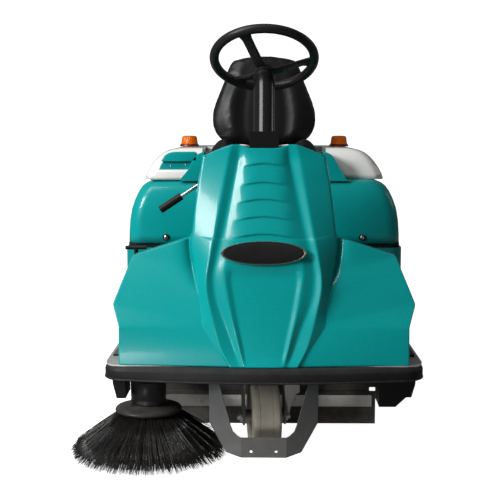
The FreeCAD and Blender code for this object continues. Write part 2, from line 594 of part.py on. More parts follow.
def steering_fork():
    """Kingpin, slewing ring, crown and two legs; the right leg has a front flange with an arched foot."""
    y, top, leg_x, leg_t = FRONT_WHEEL_Y, RAIL_Z - 4.0, 62.0, 6.0
    parts = [
        rod(KINGPIN_R - FIT, (0, y, top), (0, y, DECK_Z + 25)),
        rod(50, (0, y, top), (0, y, DECK_Z - 8 - SEAT_GAP)),
        box(-leg_x - leg_t, 108, y - 46, y + 40, top - 8, top),
    ]
    for side in (-1, 1):
        leg = prism_yz([(y - 40, top - 1), (y + 40, top - 1), (y + 40, 190), (y + 22, FRONT_R - 22),
                        (y - 22, FRONT_R - 22), (y - 40, 150)], leg_x, leg_x + leg_t)
        parts.append(leg if side > 0 else mirrored(leg))
    parts.append(prism_xz([(10, top - 1), (62, 240), (66, 132), (76, 128), (80, 160), (96, 190), (108, 196),
                           (108, top - 1)], y - 46, y - 40))
    fork = fuse(parts)
    return steered(fork.cut(rod(FRONT_AXLE_R + FIT, (-120, y, FRONT_R), (120, y, FRONT_R))))


def front_axle():
    """The drive wheel's axle with a nut at each end."""
    y = FRONT_WHEEL_Y
    ends = [rod(16, (s * 68.0, y, FRONT_R), (s * 76.0, y, FRONT_R)) for s in (-1, 1)]
    return steered(fuse([rod(FRONT_AXLE_R, (-84, y, FRONT_R), (84, y, FRONT_R)), *ends]))


def wheel_tyre(r_out, r_in, width, edge, centre):
    """A solid rubber tyre about an X axis through a centre."""
    x, y, z = centre
    tyre = rod(r_out, (x - width / 2, y, z), (x + width / 2, y, z))
    tyre = tyre.makeFillet(edge, [e for e in tyre.Edges if e.Closed])
    return tyre.cut(rod(r_in, (x - width, y, z), (x + width, y, z)))


def front_tyre():
    """The wide solid drive tyre."""
    return steered(wheel_tyre(FRONT_R, FRONT_HUB_R, FRONT_W, 12, (0, FRONT_WHEEL_Y, FRONT_R)))


def front_wheel_hub():
    """The drive wheel's hub motor: drum, dished faces and bosses that reach the fork legs."""
    y, z = FRONT_WHEEL_Y, FRONT_R
    hub = fuse([rod(FRONT_HUB_R, (-40, y, z), (40, y, z)), rod(22, (-62 + SEAT_GAP, y, z), (62 - SEAT_GAP, y, z))])
    for k in range(6):
        a = math.radians(60 * k)
        hole = (y + 40 * math.cos(a), z + 40 * math.sin(a))
        for side in (-1, 1):
            hub = hub.cut(rod(5, (side * 34, *hole), (side * 41, *hole)))
    return steered(hub.cut(rod(FRONT_AXLE_R + FIT, (-70, y, z), (70, y, z))))


# ---- rear wheels ----------------------------------------------------------------------------------------
def rear_tyre():
    """The right rear tyre."""
    return wheel_tyre(REAR_R, REAR_HUB_R, REAR_W, 10, (REAR_WHEEL_X, REAR_WHEEL_Y, REAR_R))


def rear_hub():
    """The right rear wheel's hub with a dished disc and a boss."""
    x, y, z = REAR_WHEEL_X, REAR_WHEEL_Y, REAR_R
    rim = ring(REAR_HUB_R, REAR_HUB_R - 8, (x - 27, y, z), (x + 27, y, z))
    disc = rod(REAR_HUB_R - 4, (x - 2, y, z), (x + 6, y, z))
    boss = rod(24, (AXLE_BRACKET_X + AXLE_BRACKET_T + 2, y, z), (x + 24, y, z))
    hub = fuse([rim, disc, boss])
    for k in range(5):
        a = math.radians(72 * k + 18)
        hub = hub.cut(rod(9, (x - 10, y + 43 * math.cos(a), z + 43 * math.sin(a)),
                          (x + 10, y + 43 * math.cos(a), z + 43 * math.sin(a))))
    return hub.cut(rod(REAR_AXLE_R + FIT, (x - 60, y, z), (x + 60, y, z)))


def rear_axles():
    """Two stub axles with a flange inside the bracket and a cap outside the hub."""
    y, z = REAR_WHEEL_Y, REAR_R
    axle = fuse([
        rod(REAR_AXLE_R, (AXLE_BRACKET_X - 6, y, z), (REAR_WHEEL_X + 26, y, z)),
        rod(22, (AXLE_BRACKET_X - 6, y, z), (AXLE_BRACKET_X, y, z)),
        rod(22, (REAR_WHEEL_X + 24 + SEAT_GAP, y, z), (REAR_WHEEL_X + 30, y, z)),
    ])
    return both(axle)


# ---- side brush -----------------------------------------------------------------------------------------
def side_brush_arm():
    """The swinging arm: a pivot tube and a strap over the motor."""
    top = SIDE_MOTOR_Z + SIDE_MOTOR_H
    half = SIDE_ARM_W
    tube = rod(SIDE_PIVOT_R + 6, (SIDE_X - half, SIDE_PIVOT_Y, SIDE_PIVOT_Z),
               (SIDE_X + half, SIDE_PIVOT_Y, SIDE_PIVOT_Z))
    strap = box(SIDE_X - SIDE_ARM_W / 2, SIDE_X + SIDE_ARM_W / 2, SIDE_Y - 30, SIDE_PIVOT_Y, top,
                top + SIDE_ARM_T)
    rib = box(SIDE_X - 3, SIDE_X + 3, SIDE_Y + SIDE_MOTOR_R + 6, SIDE_PIVOT_Y, top - 14, top + 1)
    arm = fuse([tube, strap, rib])
    return arm.cut(rod(SIDE_PIVOT_R + FIT, (SIDE_X - half - 1, SIDE_PIVOT_Y, SIDE_PIVOT_Z),
                       (SIDE_X + half + 1, SIDE_PIVOT_Y, SIDE_PIVOT_Z)))


def side_brush_motor():
    """The upright gear motor with its output shaft and a clamp lug on the front."""
    z0, z1 = SIDE_MOTOR_Z, SIDE_MOTOR_Z + SIDE_MOTOR_H
    can = rod(SIDE_MOTOR_R, (SIDE_X, SIDE_Y, z0), (SIDE_X, SIDE_Y, z1))
    can = can.makeFillet(3, [e for e in can.Edges if e.Closed])
    shaft = rod(SIDE_SHAFT_R, (SIDE_X, SIDE_Y, SIDE_DISC_Z + 6), (SIDE_X, SIDE_Y, z0 + 4))
    return fuse([can, shaft])


def side_brush_disc():
    """The dished plastic disc that the bristles are set in."""
    r, z, t = SIDE_DISC_R, SIDE_DISC_Z, SIDE_DISC_T
    disc = revolve([(0, z), (r - 4, z), (r, z + 4), (r, z + 10), (r - 5, z + 14), (r * 0.62, z + t - 2),
                    (r * 0.5, z + t), (0, z + t)], SIDE_X, SIDE_Y)
    return disc.cut(rod(SIDE_SHAFT_R + FIT, (SIDE_X, SIDE_Y, z + 5), (SIDE_X, SIDE_Y, z + t + 5)))


def side_brush_bristles():
    """The flared skirt of bristles as one closed ring."""
    r, z = SIDE_R, SIDE_DISC_Z
    return revolve([(58, z), (SIDE_DISC_R - 6, z), (r - 2, 24), (r, BRISTLE_CLEAR + 2),
                    (r - 6, BRISTLE_CLEAR), (r - 70, BRISTLE_CLEAR), (r - 86, BRISTLE_CLEAR + 8)],
                   SIDE_X, SIDE_Y)


# ---- main brush -----------------------------------------------------------------------------------------
def main_brush_arms():
    """Two swinging arms inside the housing, joined by a cross tube, with pivot pins outwards."""
    x0, x1 = MAIN_HALF_L + 10.0, MAIN_HALF_L + 18.0
    dy, dz = MAIN_Y - MAIN_PIVOT_Y, MAIN_Z - MAIN_PIVOT_Z
    length = math.hypot(dy, dz)
    ny, nz = -dz / length * 14, dy / length * 14
    arm = fuse([
        prism_yz([(MAIN_PIVOT_Y + ny, MAIN_PIVOT_Z + nz), (MAIN_Y + ny, MAIN_Z + nz),
                  (MAIN_Y - ny, MAIN_Z - nz), (MAIN_PIVOT_Y - ny, MAIN_PIVOT_Z - nz)], x0, x1),
        rod(14, (x0, MAIN_PIVOT_Y, MAIN_PIVOT_Z), (x1, MAIN_PIVOT_Y, MAIN_PIVOT_Z)),
        rod(18, (x0, MAIN_Y, MAIN_Z), (x1, MAIN_Y, MAIN_Z)),
        rod(MAIN_PIVOT_R - FIT, (x0, MAIN_PIVOT_Y, MAIN_PIVOT_Z),
            (HOUSING_HALF_W + 4, MAIN_PIVOT_Y, MAIN_PIVOT_Z)),
    ])
    tie = rod(9, (-x0 - 1, MAIN_PIVOT_Y + 4, MAIN_PIVOT_Z), (x0 + 1, MAIN_PIVOT_Y + 4, MAIN_PIVOT_Z))
    arms = fuse([arm, mirrored(arm), tie])
    return arms.cut(rod(MAIN_AXLE_R + FIT, (-400, MAIN_Y, MAIN_Z), (400, MAIN_Y, MAIN_Z)))


def main_brush_core():
    """The roller tube with its end journals."""
    return fuse([
        rod(MAIN_CORE_R, (-MAIN_HALF_L - 4, MAIN_Y, MAIN_Z), (MAIN_HALF_L + 4, MAIN_Y, MAIN_Z)),
        rod(MAIN_AXLE_R, (-MAIN_HALF_L - 20, MAIN_Y, MAIN_Z), (MAIN_HALF_L + 20, MAIN_Y, MAIN_Z)),
    ])


def main_brush_bristles():
    """The roller's bristle pack as a closed sleeve."""
    return ring(MAIN_R, MAIN_CORE_R, (-MAIN_HALF_L, MAIN_Y, MAIN_Z), (MAIN_HALF_L, MAIN_Y, MAIN_Z))


def brush_housing():
    """The steel tunnel over the main brush: roof, sides, front wall and flanges under the rails."""
    w, t = HOUSING_HALF_W, HOUSING_T
    low = HOUSING_LOW
    shell = box(-w, w, HOUSING_FRONT, HOUSING_REAR, low, HOUSING_TOP).cut(
        box(-w + t, w - t, HOUSING_FRONT + t, HOUSING_REAR + 1, low - 1, HOUSING_TOP - t))
    flange = box(w - 1, w + 36, HOUSING_FRONT, HOUSING_REAR, HOUSING_TOP - t, HOUSING_TOP)
    shell = fuse([shell, flange, mirrored(flange)])
    return shell.cut(rod(MAIN_PIVOT_R, (-400, MAIN_PIVOT_Y, MAIN_PIVOT_Z), (400, MAIN_PIVOT_Y, MAIN_PIVOT_Z)))


def front_flap():
    """The black rubber flap in front of the main brush."""
    y = HOUSING_FRONT - SEAT_GAP
    return box(-385, 385, y - FLAP_T, y, BRISTLE_CLEAR, 118)


def flap_strip():
    """The galvanised strip and its screws that clamp the front flap."""
    y = HOUSING_FRONT - FLAP_T - 2 * SEAT_GAP
    strip = box(-372, 372, y - STRIP_T, y, 64, 104)
    heads = [rod(4.5, (x, y - STRIP_T - 3, 84), (x, y - STRIP_T + 0.5, 84)) for x in range(-330, 331, 110)]
    return fuse([strip, *heads])


def side_flaps():
    """Rubber skirts along both sides of the brush housing."""
    x = HOUSING_HALF_W + SEAT_GAP
    return both(box(x, x + FLAP_T, HOUSING_FRONT + 1, HOUSING_REAR, BRISTLE_CLEAR, 130))


# ---- body -----------------------------------------------------------------------------------------------
def body_block(inset, z0, z1):
    """The body's plan as a block, inset all round."""
    return rounded_box(BODY_HALF_W - inset, BODY_FRONT + inset, REAR_Y - inset, BODY_R - inset, z0, z1)


def hood_hinge_bracket():
    """Two hinge ears with their pin on the rear wall."""
    ears = [box(x, x + 6, REAR_Y - 1, HINGE_Y + 9, HINGE_Z - 32, HINGE_Z + 9) for x in (148, 206)]
    ears = [ear.cut(box(140, 220, REAR_Y - 2, REAR_Y, LOWER_TOP, HINGE_Z + 20)) for ear in ears]
    return fuse([*ears, rod(HINGE_R, (148, HINGE_Y, HINGE_Z), (212, HINGE_Y, HINGE_Z))])


def lower_body():
    """The fixed lower moulding: sides with wheel arches, a low front wall and a slotted rear wall."""
    shell = body_block(0, LOWER_BOTTOM, LOWER_TOP).cut(body_block(SHEET, LOWER_BOTTOM - 1, LOWER_TOP - SHEET))
    shell = shell.cut(body_block(LEDGE_W, LOWER_BOTTOM - 1, LOWER_TOP + 1))
    shell = shell.cut(box(-BODY_HALF_W - 1, BODY_HALF_W + 1, BODY_FRONT - 1, BODY_FRONT + BODY_R,
                          LOWER_BOTTOM - 1, FLOOR_Z))
    shell = shell.cut(rod(REAR_R + 17, (-600, REAR_WHEEL_Y, REAR_R), (600, REAR_WHEEL_Y, REAR_R)))
    mouth = box(-HOPPER_HALF_W - 12, HOPPER_HALF_W + 12, REAR_Y - 20, REAR_Y + 1, LOWER_BOTTOM - 1,
                HOPPER_TOP + 6)
    slot_w = RAIL_IN - RUNNER_T + 2
    slot_z = RUNNER_Z + RUNNER_T - 3
    flange_slot = box(-slot_w, slot_w, REAR_Y - 20, REAR_Y + 1, slot_z, slot_z + 11)
    bracket = hood_hinge_bracket()
    return fuse([shell.cut(mouth).cut(flange_slot), bracket, mirrored(bracket)])


def hood_seal():
    """The black rubber strip that the hood closes on."""
    return body_block(SHEET + 2, LOWER_TOP + SEAT_GAP, LOWER_TOP + SEAL_H).cut(
        body_block(SHEET + 2 + SEAL_W, LOWER_TOP - 1, LOWER_TOP + SEAL_H + 1))


# Levels of the hood's flanks: height, half width, front y, rear y, corner radius.
HOOD_LEVELS = [
    (HOOD_Z, 474.0, -133.0, 742.0, 46.0),
    (705.0, 469.0, -131.0, 739.0, 48.0),
    (774.0, 452.0, -124.0, 732.0, 50.0),
    (HOOD_SHELF, 425.0, -112.0, 722.0, 52.0),
]
# Levels of the light cover over the flanks.
COVER_LEVELS = [
    (HOOD_SHELF, 425.0, COVER_FRONT, 722.0, 30.0),
    (898.0, 394.0, COVER_FRONT + 6, 704.0, 34.0),
    (936.0, 362.0, COVER_FRONT + 16, 676.0, 38.0),
    (COVER_TOP, 330.0, COVER_FRONT + 30, 640.0, 40.0),
]


def flanks(levels, inset, drop):
    """A ruled loft through rounded rectangles, inset by a wall, with its top lowered by drop."""
    wires = []
    for k, (z, half_w, y0, y1, r) in enumerate(levels):
        level = z - (drop if k == len(levels) - 1 else 0) - (1 if inset and k == 0 else 0)
        wires.append(rounded_wire(half_w - inset, y0 + inset, y1 - inset, r, level))
    return loft(wires)


def cheek(inset, y0, y1):
    """One of the two raised sides of the seat well."""
    i = inset
    return prism_xz([(CHEEK_IN + i, HOOD_SHELF - SHELF_T + i), (296 - i * 2, HOOD_SHELF - SHELF_T + i),
                     (296 - i * 2, 846 - i), (276 - i, 857 - i), (263 - i, 873 - i), (246 - i, 907 - i),
                     (216 - i, CHEEK_TOP - i), (CHEEK_IN + i, CHEEK_TOP - i)], y0, y1)


def hood_shell():
    """The tilting hood's coloured part: flanks, front shelf, seat deck and the two cheeks beside the seat."""
    outer = flanks(HOOD_LEVELS, 0, 0).cut(flanks(HOOD_LEVELS, SHEET, SHELF_T))
    mouth = rounded_box(385, 260, 690, 40, HOOD_SHELF - SHELF_T - 1, HOOD_SHELF + 1)
    outer = outer.cut(mouth)
    cheek_solid = cheek(0, -110, CHEEK_REAR).cut(cheek(SHEET, -110 + SHEET, CHEEK_REAR - SHEET))
    return fuse([outer, cheek_solid, mirrored(cheek_solid)])


def hood_cover():
    """The light rear cover: a crowned shell with a notch for the seat well."""
    t = 4.0
    notch = box(-298, 298, COVER_FRONT - 10, CHEEK_REAR + 2, HOOD_SHELF - 10, COVER_TOP + 10)
    wider = box(-298 - t, 298 + t, COVER_FRONT - 10, CHEEK_REAR + 2 + t, HOOD_SHELF - 20, COVER_TOP + 10)
    outer = flanks(COVER_LEVELS, 0, 0).cut(notch)
    return outer.cut(flanks(COVER_LEVELS, t, t).cut(wider))


def console_box():
    """The lidded box on the hood's left shoulder."""
    body = box(-352, -236, -106, COVER_FRONT - 4, HOOD_SHELF, 903)
    lid = box(-358, -232, -110, COVER_FRONT - 4, 903, 937)
    lid = lid.makeFillet(8, [e for e in lid.Edges if abs(e.BoundBox.XMax + 358) < 0.01
                             and e.BoundBox.YLength > 1 and e.BoundBox.ZMin > 930])
    whole = fuse([body, lid]).cut(mirrored(cheek(0, -111, CHEEK_REAR)))
    inner = box(-347, -300, -101, COVER_FRONT - 9, HOOD_SHELF + 5, 930)
    return whole.cut(inner)


def hood_stop_bolts():
    """Two round-headed bolts on the hood's front face."""
    z = 643.0
    heads = []
    for x in (-340.0, 340.0):
        head = rod(10.5, (x, -142, z), (x, -133, z))
        heads.append(rounded_edges(head, 3, lambda e: abs(e.BoundBox.YMax + 142) < 0.01))
    return Part.makeCompound(heads)


def hood_hinge_leaves():
    """Hinge leaves on the hood, each with a knuckle round its pin."""
    knuckle = rod(HINGE_R + 4, (156, HINGE_Y, HINGE_Z), (204, HINGE_Y, HINGE_Z))
    leaf = box(156, 204, REAR_Y - 1, REAR_Y + 3, HINGE_Z + 6, HINGE_Z + 52)
    arm = prism_yz([(REAR_Y - 1, HINGE_Z + 8), (HINGE_Y, HINGE_Z), (HINGE_Y + 6, HINGE_Z + 6),
                    (REAR_Y + 3, HINGE_Z + 20)], 156, 204)
    leaf = fuse([knuckle, leaf, arm])
    leaf = leaf.cut(rod(HINGE_R + FIT, (150, HINGE_Y, HINGE_Z), (210, HINGE_Y, HINGE_Z)))
    leaf = leaf.cut(flanks(HOOD_LEVELS, 0, 0))
    return both(leaf)


def beacon_bases():
    """Dark bases of the two beacons."""
    base = rod(BEACON_R, (BEACON_X, BEACON_Y, COVER_TOP), (BEACON_X, BEACON_Y, COVER_TOP + 9))
    return both(base)


def beacon_lenses():
    """Amber domes of the two beacons."""
    z = COVER_TOP + 9
    dome = revolve([(0, z), (BEACON_R - 4, z), (BEACON_R - 6, z + 22), (BEACON_R - 12, z + 31), (0, z + 33)],
                   BEACON_X, BEACON_Y)
    return both(dome)


# ---- seat -----------------------------------------------------------------------------------------------
SEAT_Z = HOOD_SHELF + SEAT_RAIL_H + 14.0     # top of the seat pan
CUSHION_FRONT, CUSHION_REAR = -98.0, 112.0
BACK_FRONT, BACK_T = 118.0, 68.0             # front and thickness of the backrest at its foot


def seat_rails():
    """Two fixed slide rails on the seat deck."""
    return both(box(SEAT_RAIL_X - 9, SEAT_RAIL_X + 9, -78, 172, HOOD_SHELF, HOOD_SHELF + SEAT_RAIL_H))


def back_strap():
    """A steel strap from the pan's back plate up behind the backrest."""
    low, slope = SEAT_Z + CUSHION_H + 24.0, math.tan(math.radians(BACK_LEAN))
    y = BACK_FRONT + BACK_T / math.cos(math.radians(BACK_LEAN)) - 8.0 * slope + SEAT_GAP
    return prism_yz([(139, SEAT_Z + 8), (139, SEAT_Z + 20), (y, low), (y + 144 * slope, low + 144),
                     (y + 144 * slope + 6, low + 144), (y + 6, low - 3), (145, SEAT_Z + 8)], 92, 122)


def seat_pan():
    """The seat's carrier: runners, a pan, a back plate and two straps behind the backrest."""
    z = SEAT_Z
    runner = box(SEAT_RAIL_X - 14, SEAT_RAIL_X + 14, -70, 120, HOOD_SHELF + SEAT_RAIL_H + SEAT_GAP, z - PAN_T)
    lip = 12 + SEAT_GAP
    cheeks = [box(SEAT_RAIL_X + s * lip - 3, SEAT_RAIL_X + s * lip + 3, -70, 120, HOOD_SHELF + 3, z - PAN_T)
              for s in (-1, 1)]
    pan = box(-SEAT_HALF_W + 12, SEAT_HALF_W - 12, -88, 140, z - PAN_T, z)
    back = box(-150, 150, 134, 140, z - 1, z + 70)
    side = fuse([runner, *cheeks])
    strap = back_strap()
    return fuse([pan, back, side, mirrored(side), strap, mirrored(strap)])


def seat_cushion():
    """The seat cushion with raised side bolsters."""
    w, z = SEAT_HALF_W, SEAT_Z + SEAT_GAP
    top = z + CUSHION_H
    return prism_xz([(-w, z + 10), (-w + 10, z), (w - 10, z), (w, z + 10), (w, top + 18), (w - 10, top + 26),
                     (w - 26, top + 22), (w - 60, top), (60 - w, top), (26 - w, top + 22), (10 - w, top + 26),
                     (-w, top + 18)], CUSHION_FRONT, CUSHION_REAR)


def seat_backrest():
    """The backrest: narrow shoulders over wide sides, leaning back."""
    z0 = SEAT_Z + CUSHION_H + 32
    outline = [(-150, z0), (150, z0), (186, z0 + 36), (194, z0 + 90), (190, z0 + 136), (166, z0 + 190),
               (150, z0 + 240), (138, z0 + 292), (112, z0 + 318)]
    outline = outline + [(-x, z) for x, z in outline[:1:-1]]
    shell_y = BACK_FRONT + BACK_T - 8
    pad = prism_xz(outline, BACK_FRONT, shell_y)
    pad = fuse([pad, box(-150, 150, shell_y - 1, shell_y + 8, z0 + 4, z0 + 250)])
    pad.rotate(V(0, BACK_FRONT, z0), X_AXIS, -BACK_LEAN)
    return pad


# ---- hopper ---------------------------------------------------------------------------------------------
def hopper_bin():
    """The rear debris bin: open mouth at the front, runner flanges, a rear face plate and a grab handle."""
    w, t = HOPPER_HALF_W, HOPPER_T
    shell = box(-w, w, HOPPER_FRONT, HOPPER_REAR, HOPPER_Z, HOPPER_TOP)
    shell = shell.cut(box(-w + t, w - t, HOPPER_FRONT + t, HOPPER_REAR - t, HOPPER_Z + t, HOPPER_TOP - t))
    shell = shell.cut(box(-w + 30, w - 30, HOPPER_FRONT - 1, HOPPER_FRONT + t + 1, 110, HOPPER_TOP - 20))
    flange = box(w - 1, RAIL_IN - RUNNER_T - 1, HOPPER_FRONT + 2, HOPPER_REAR - 4,
                 RUNNER_Z + RUNNER_T + SEAT_GAP, RUNNER_Z + RUNNER_T + 5)
    y = HOPPER_REAR + 8
    face = box(-w - 9, w + 9, HOPPER_REAR, y, HOPPER_Z, HOPPER_TOP + 4)
    posts = [rod(7, (x, y - 1, 190), (x, y + 22, 190)) for x in (-86, 86)]
    bar = rod(8, (-98, y + 22, 190), (98, y + 22, 190))
    return fuse([shell, flange, mirrored(flange), face, *posts, bar])


# ---- inner units ----------------------------------------------------------------------------------------
def battery_pack():
    """Four traction batteries in a block on the chassis deck."""
    z = DECK_Z + 4
    cells = []
    for x in (-181, 1):
        for y in (150, 332):
            cells.append(box(x, x + 180, y, y + 180, z, z + 250))
    return Part.makeCompound(cells)


def filter_box():
    """The dust filter housing with its suction fan, over the brush housing."""
    z = DECK_Z + 4
    case = box(-210, 210, -95, 120, z, z + 110)
    fan = rod(70, (0, 10, z + 110), (0, 10, z + 170))
    return fuse([case, fan])


# ---- controls -------------------------------------------------------------------------------------------
def pedal(x):
    """One organ pedal: a plate on a heel tube, rising towards the toes."""
    half = PEDAL_W / 2
    plate = box(x - half, x + half, -PEDAL_L, 0, 0, PEDAL_T)
    for k in range(5):
        plate = plate.cut(box(x - half + 8, x + half - 8, -100 + 18 * k, -94 + 18 * k, PEDAL_T - 1.5, PEDAL_T + 1))
    plate.rotate(V(0, 0, 0), X_AXIS, -PEDAL_RISE)
    plate.translate(V(0, PEDAL_PIVOT_Y, PEDAL_PIVOT_Z))
    ends = ((x - half, PEDAL_PIVOT_Y, PEDAL_PIVOT_Z), (x + half, PEDAL_PIVOT_Y, PEDAL_PIVOT_Z))
    heel = fuse([plate, rod(PEDAL_PIN_R + 4, *ends)])
    return heel.cut(rod(PEDAL_PIN_R + FIT, *ends))


def lever_point(distance):
    """A point along the lift lever, measured from its pivot."""
    a = math.radians(LEVER_DROP)
    return (LEVER_X - distance * math.cos(a), LEVER_Y, LEVER_Z - distance * math.sin(a))


def brush_lift_lever():
    """The bright lever rod with its eye on the pivot pin."""
    eye = rod(14, (LEVER_X, LEVER_Y - 8, LEVER_Z), (LEVER_X, LEVER_Y + 8, LEVER_Z))
    lever = fuse([eye, rod(LEVER_ROD_R, lever_point(6), lever_point(LEVER_L - GRIP_L + 30))])
    return lever.cut(rod(LEVER_PIN_R + FIT, (LEVER_X, LEVER_Y - 20, LEVER_Z), (LEVER_X, LEVER_Y + 20, LEVER_Z)))


def lever_grip():
    """The black grip on the lift lever."""
    grip = rod(GRIP_R, lever_point(LEVER_L - GRIP_L), lever_point(LEVER_L))
    return grip.cut(rod(LEVER_ROD_R + FIT, lever_point(LEVER_L - GRIP_L - 1), lever_point(LEVER_L - GRIP_L + 30)))


def side_brush_lever():
    """The upright side brush lever with a T handle."""
    eye = rod(12, (TEE_X - 10.5, TEE_Y, TEE_PIVOT_Z), (TEE_X + 10.5, TEE_Y, TEE_PIVOT_Z))
    stem = rod(TEE_R, (TEE_X, TEE_Y, TEE_PIVOT_Z), (TEE_X, TEE_Y, TEE_TOP))
    bar = rod(6.5, (TEE_X - TEE_HALF_W, TEE_Y, TEE_TOP), (TEE_X + TEE_HALF_W, TEE_Y, TEE_TOP))
    lever = fuse([eye, stem, bar])
    return lever.cut(rod(LEVER_PIN_R + FIT, (TEE_X - 20, TEE_Y, TEE_PIVOT_Z), (TEE_X + 20, TEE_Y, TEE_PIVOT_Z)))


def nodes():
    """Every node's name and shape."""
    right_tyre, right_hub = rear_tyre(), rear_hub()
    return {
        "chassis_frame": chassis_frame(), "floor_plate": floor_plate(), "foot_mats": foot_mats(),
        "front_bumper": front_bumper(), "front_guard": front_guard(), "guard_bolts": guard_bolts(),
        "corner_skirts": corner_skirts(), "front_cowl": front_cowl(), "cowl_inner_panel": cowl_inner_panel(),
        "badge": badge(), "column_collar": column_collar(), "steering_column": steering_column(),
        "steering_shaft": steering_shaft(), "steering_wheel": steering_wheel(),
        "steering_wheel_cap": steering_wheel_cap(), "dash_panel": dash_panel(), "ignition_key": ignition_key(),
        "horn_button": horn_button(), "steering_fork": steering_fork(), "front_axle": front_axle(),
        "front_tyre": front_tyre(), "front_wheel_hub": front_wheel_hub(),
        "rear_tyre_right": right_tyre, "rear_hub_right": right_hub,
        "rear_tyre_left": mirrored(right_tyre), "rear_hub_left": mirrored(right_hub),
        "rear_axles": rear_axles(), "side_brush_arm": side_brush_arm(), "side_brush_motor": side_brush_motor(),
        "side_brush_disc": side_brush_disc(), "side_brush_bristles": side_brush_bristles(),
        "main_brush_arms": main_brush_arms(), "main_brush_core": main_brush_core(),
        "main_brush_bristles": main_brush_bristles(), "brush_housing": brush_housing(),
        "front_flap": front_flap(), "flap_strip": flap_strip(), "side_flaps": side_flaps(),
        "lower_body": lower_body(), "hood_seal": hood_seal(), "hood_shell": hood_shell(),
        "hood_cover": hood_cover(), "console_box": console_box(), "hood_stop_bolts": hood_stop_bolts(),
        "hood_hinge_leaves": hood_hinge_leaves(),
        "beacon_bases": beacon_bases(), "beacon_lenses": beacon_lenses(), "seat_rails": seat_rails(),
        "seat_pan": seat_pan(), "seat_cushion": seat_cushion(), "seat_backrest": seat_backrest(),
        "hopper_bin": hopper_bin(), "battery_pack": battery_pack(), "filter_box": filter_box(),
        "drive_pedal": pedal(-PEDAL_X), "brake_pedal": pedal(PEDAL_X),
        "brush_lift_lever": brush_lift_lever(), "lever_grip": lever_grip(),
        "side_brush_lever": side_brush_lever(),
    }


def main():
    """Moves every node to the row frame and writes it."""
    os.makedirs("parts", exist_ok=True)
    for name, shape in nodes().items():
        placed = shape.copy()
        placed.translate(V(ROW_SHIFT_X, 0, 0))
        placed.exportStep(f"parts/{name}.step")
        b = placed.BoundBox
        print(f"{name:22s} solids {len(placed.Solids):2d} valid {placed.isValid()} "
              f"x {b.XMin:7.1f}..{b.XMax:7.1f} y {b.YMin:7.1f}..{b.YMax:7.1f} z {b.ZMin:7.1f}..{b.ZMax:7.1f}")


main()
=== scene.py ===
"""A ride-on sweeper: finishes, moulded skins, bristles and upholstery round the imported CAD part."""
import logging
import math
import random
from dataclasses import dataclass
from enum import Enum

import bmesh
import bpy
from mathutils import Matrix, Vector


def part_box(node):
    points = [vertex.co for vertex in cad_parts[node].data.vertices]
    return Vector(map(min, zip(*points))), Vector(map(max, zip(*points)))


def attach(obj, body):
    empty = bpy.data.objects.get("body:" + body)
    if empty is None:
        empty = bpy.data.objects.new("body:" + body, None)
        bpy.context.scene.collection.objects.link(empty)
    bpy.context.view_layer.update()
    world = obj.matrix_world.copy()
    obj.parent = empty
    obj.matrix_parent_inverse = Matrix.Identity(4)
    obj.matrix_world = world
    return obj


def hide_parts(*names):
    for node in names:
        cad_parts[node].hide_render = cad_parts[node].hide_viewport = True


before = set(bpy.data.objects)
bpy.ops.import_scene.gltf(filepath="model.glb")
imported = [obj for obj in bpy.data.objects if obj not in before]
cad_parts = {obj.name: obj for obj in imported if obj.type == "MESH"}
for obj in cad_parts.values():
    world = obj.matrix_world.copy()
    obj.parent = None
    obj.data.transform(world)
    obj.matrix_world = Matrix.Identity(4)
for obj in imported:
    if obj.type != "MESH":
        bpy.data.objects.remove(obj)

logging.basicConfig(level=logging.INFO, format="%(name)s: %(message)s")
log = logging.getLogger("sweeper")

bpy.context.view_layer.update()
MM = 0.001
#: The machine's middle plane, in metres.
AXIS_X: float = sum(corner.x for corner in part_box("front_cowl")) / 2
UP = Vector((0.0, 0.0, 1.0))
ACROSS = Vector((1.0, 0.0, 0.0))
FORWARD = Vector((0.0, -1.0, 0.0))
Colour = tuple[float, float, float]
Place = tuple[float, float, float]
Row = list[Place | None]
Curve = tuple[tuple[float, float], ...]


# ---- placing and shaping ---------------------------------------------------------------------------
def at(x: float, y: float, z: float) -> Vector:
    """A point given in millimetres from the machine's middle plane."""
    return Vector((AXIS_X + x * MM, y * MM, z * MM))


def table(points: Curve, value: float) -> float:
    """Reads a piecewise straight curve.

    Args:
        points: (input, output) pairs in rising order of input.
        value: the input to read at.

    Returns:
        The output there, held at the ends.
    """
    if value <= points[0][0]:
        return points[0][1]
    for (a, fa), (b, fb) in zip(points, points[1:]):
        if value <= b:
            return fa + (fb - fa) * (value - a) / (b - a)
    return points[-1][1]


def smooth(low: float, high: float, value: float) -> float:
    """A soft step from 0 at low to 1 at high."""
    t = min(1.0, max(0.0, (value - low) / (high - low)))
    return t * t * (3.0 - 2.0 * t)


def station(point: Vector, forward: Vector, up: Vector = UP,
            scale: tuple[float, float] = (1.0, 1.0)) -> Matrix:
    """A frame for one stop of a swept outline.

    Args:
        point: where the outline's origin goes.
        forward: the direction of travel.
        up: what the outline's own Y should lean towards.
        scale: the outline's size there, across and up.

    Returns:
        The matrix from outline coordinates to the model.
    """
    ahead = forward.normalized()
    right = ahead.cross(up).normalized()
    lift = right.cross(ahead)
    turn = Matrix((right * scale[0], lift * scale[1], ahead)).transposed().to_4x4()
    return Matrix.Translation(point) @ turn


def heading(points: list[Vector], k: int) -> Vector:
    """The direction of a path at one of its points."""
    return points[min(k + 1, len(points) - 1)] - points[max(k - 1, 0)]


def new_parts(result: dict, kind: type) -> list:
    """The elements of one kind in what a bmesh operator returned."""
    return [part for part in result["geom"] if isinstance(part, kind)]


def everything(bm: bmesh.types.BMesh) -> list:
    """All corners, edges and faces of a mesh."""
    return bm.verts[:] + bm.edges[:] + bm.faces[:]


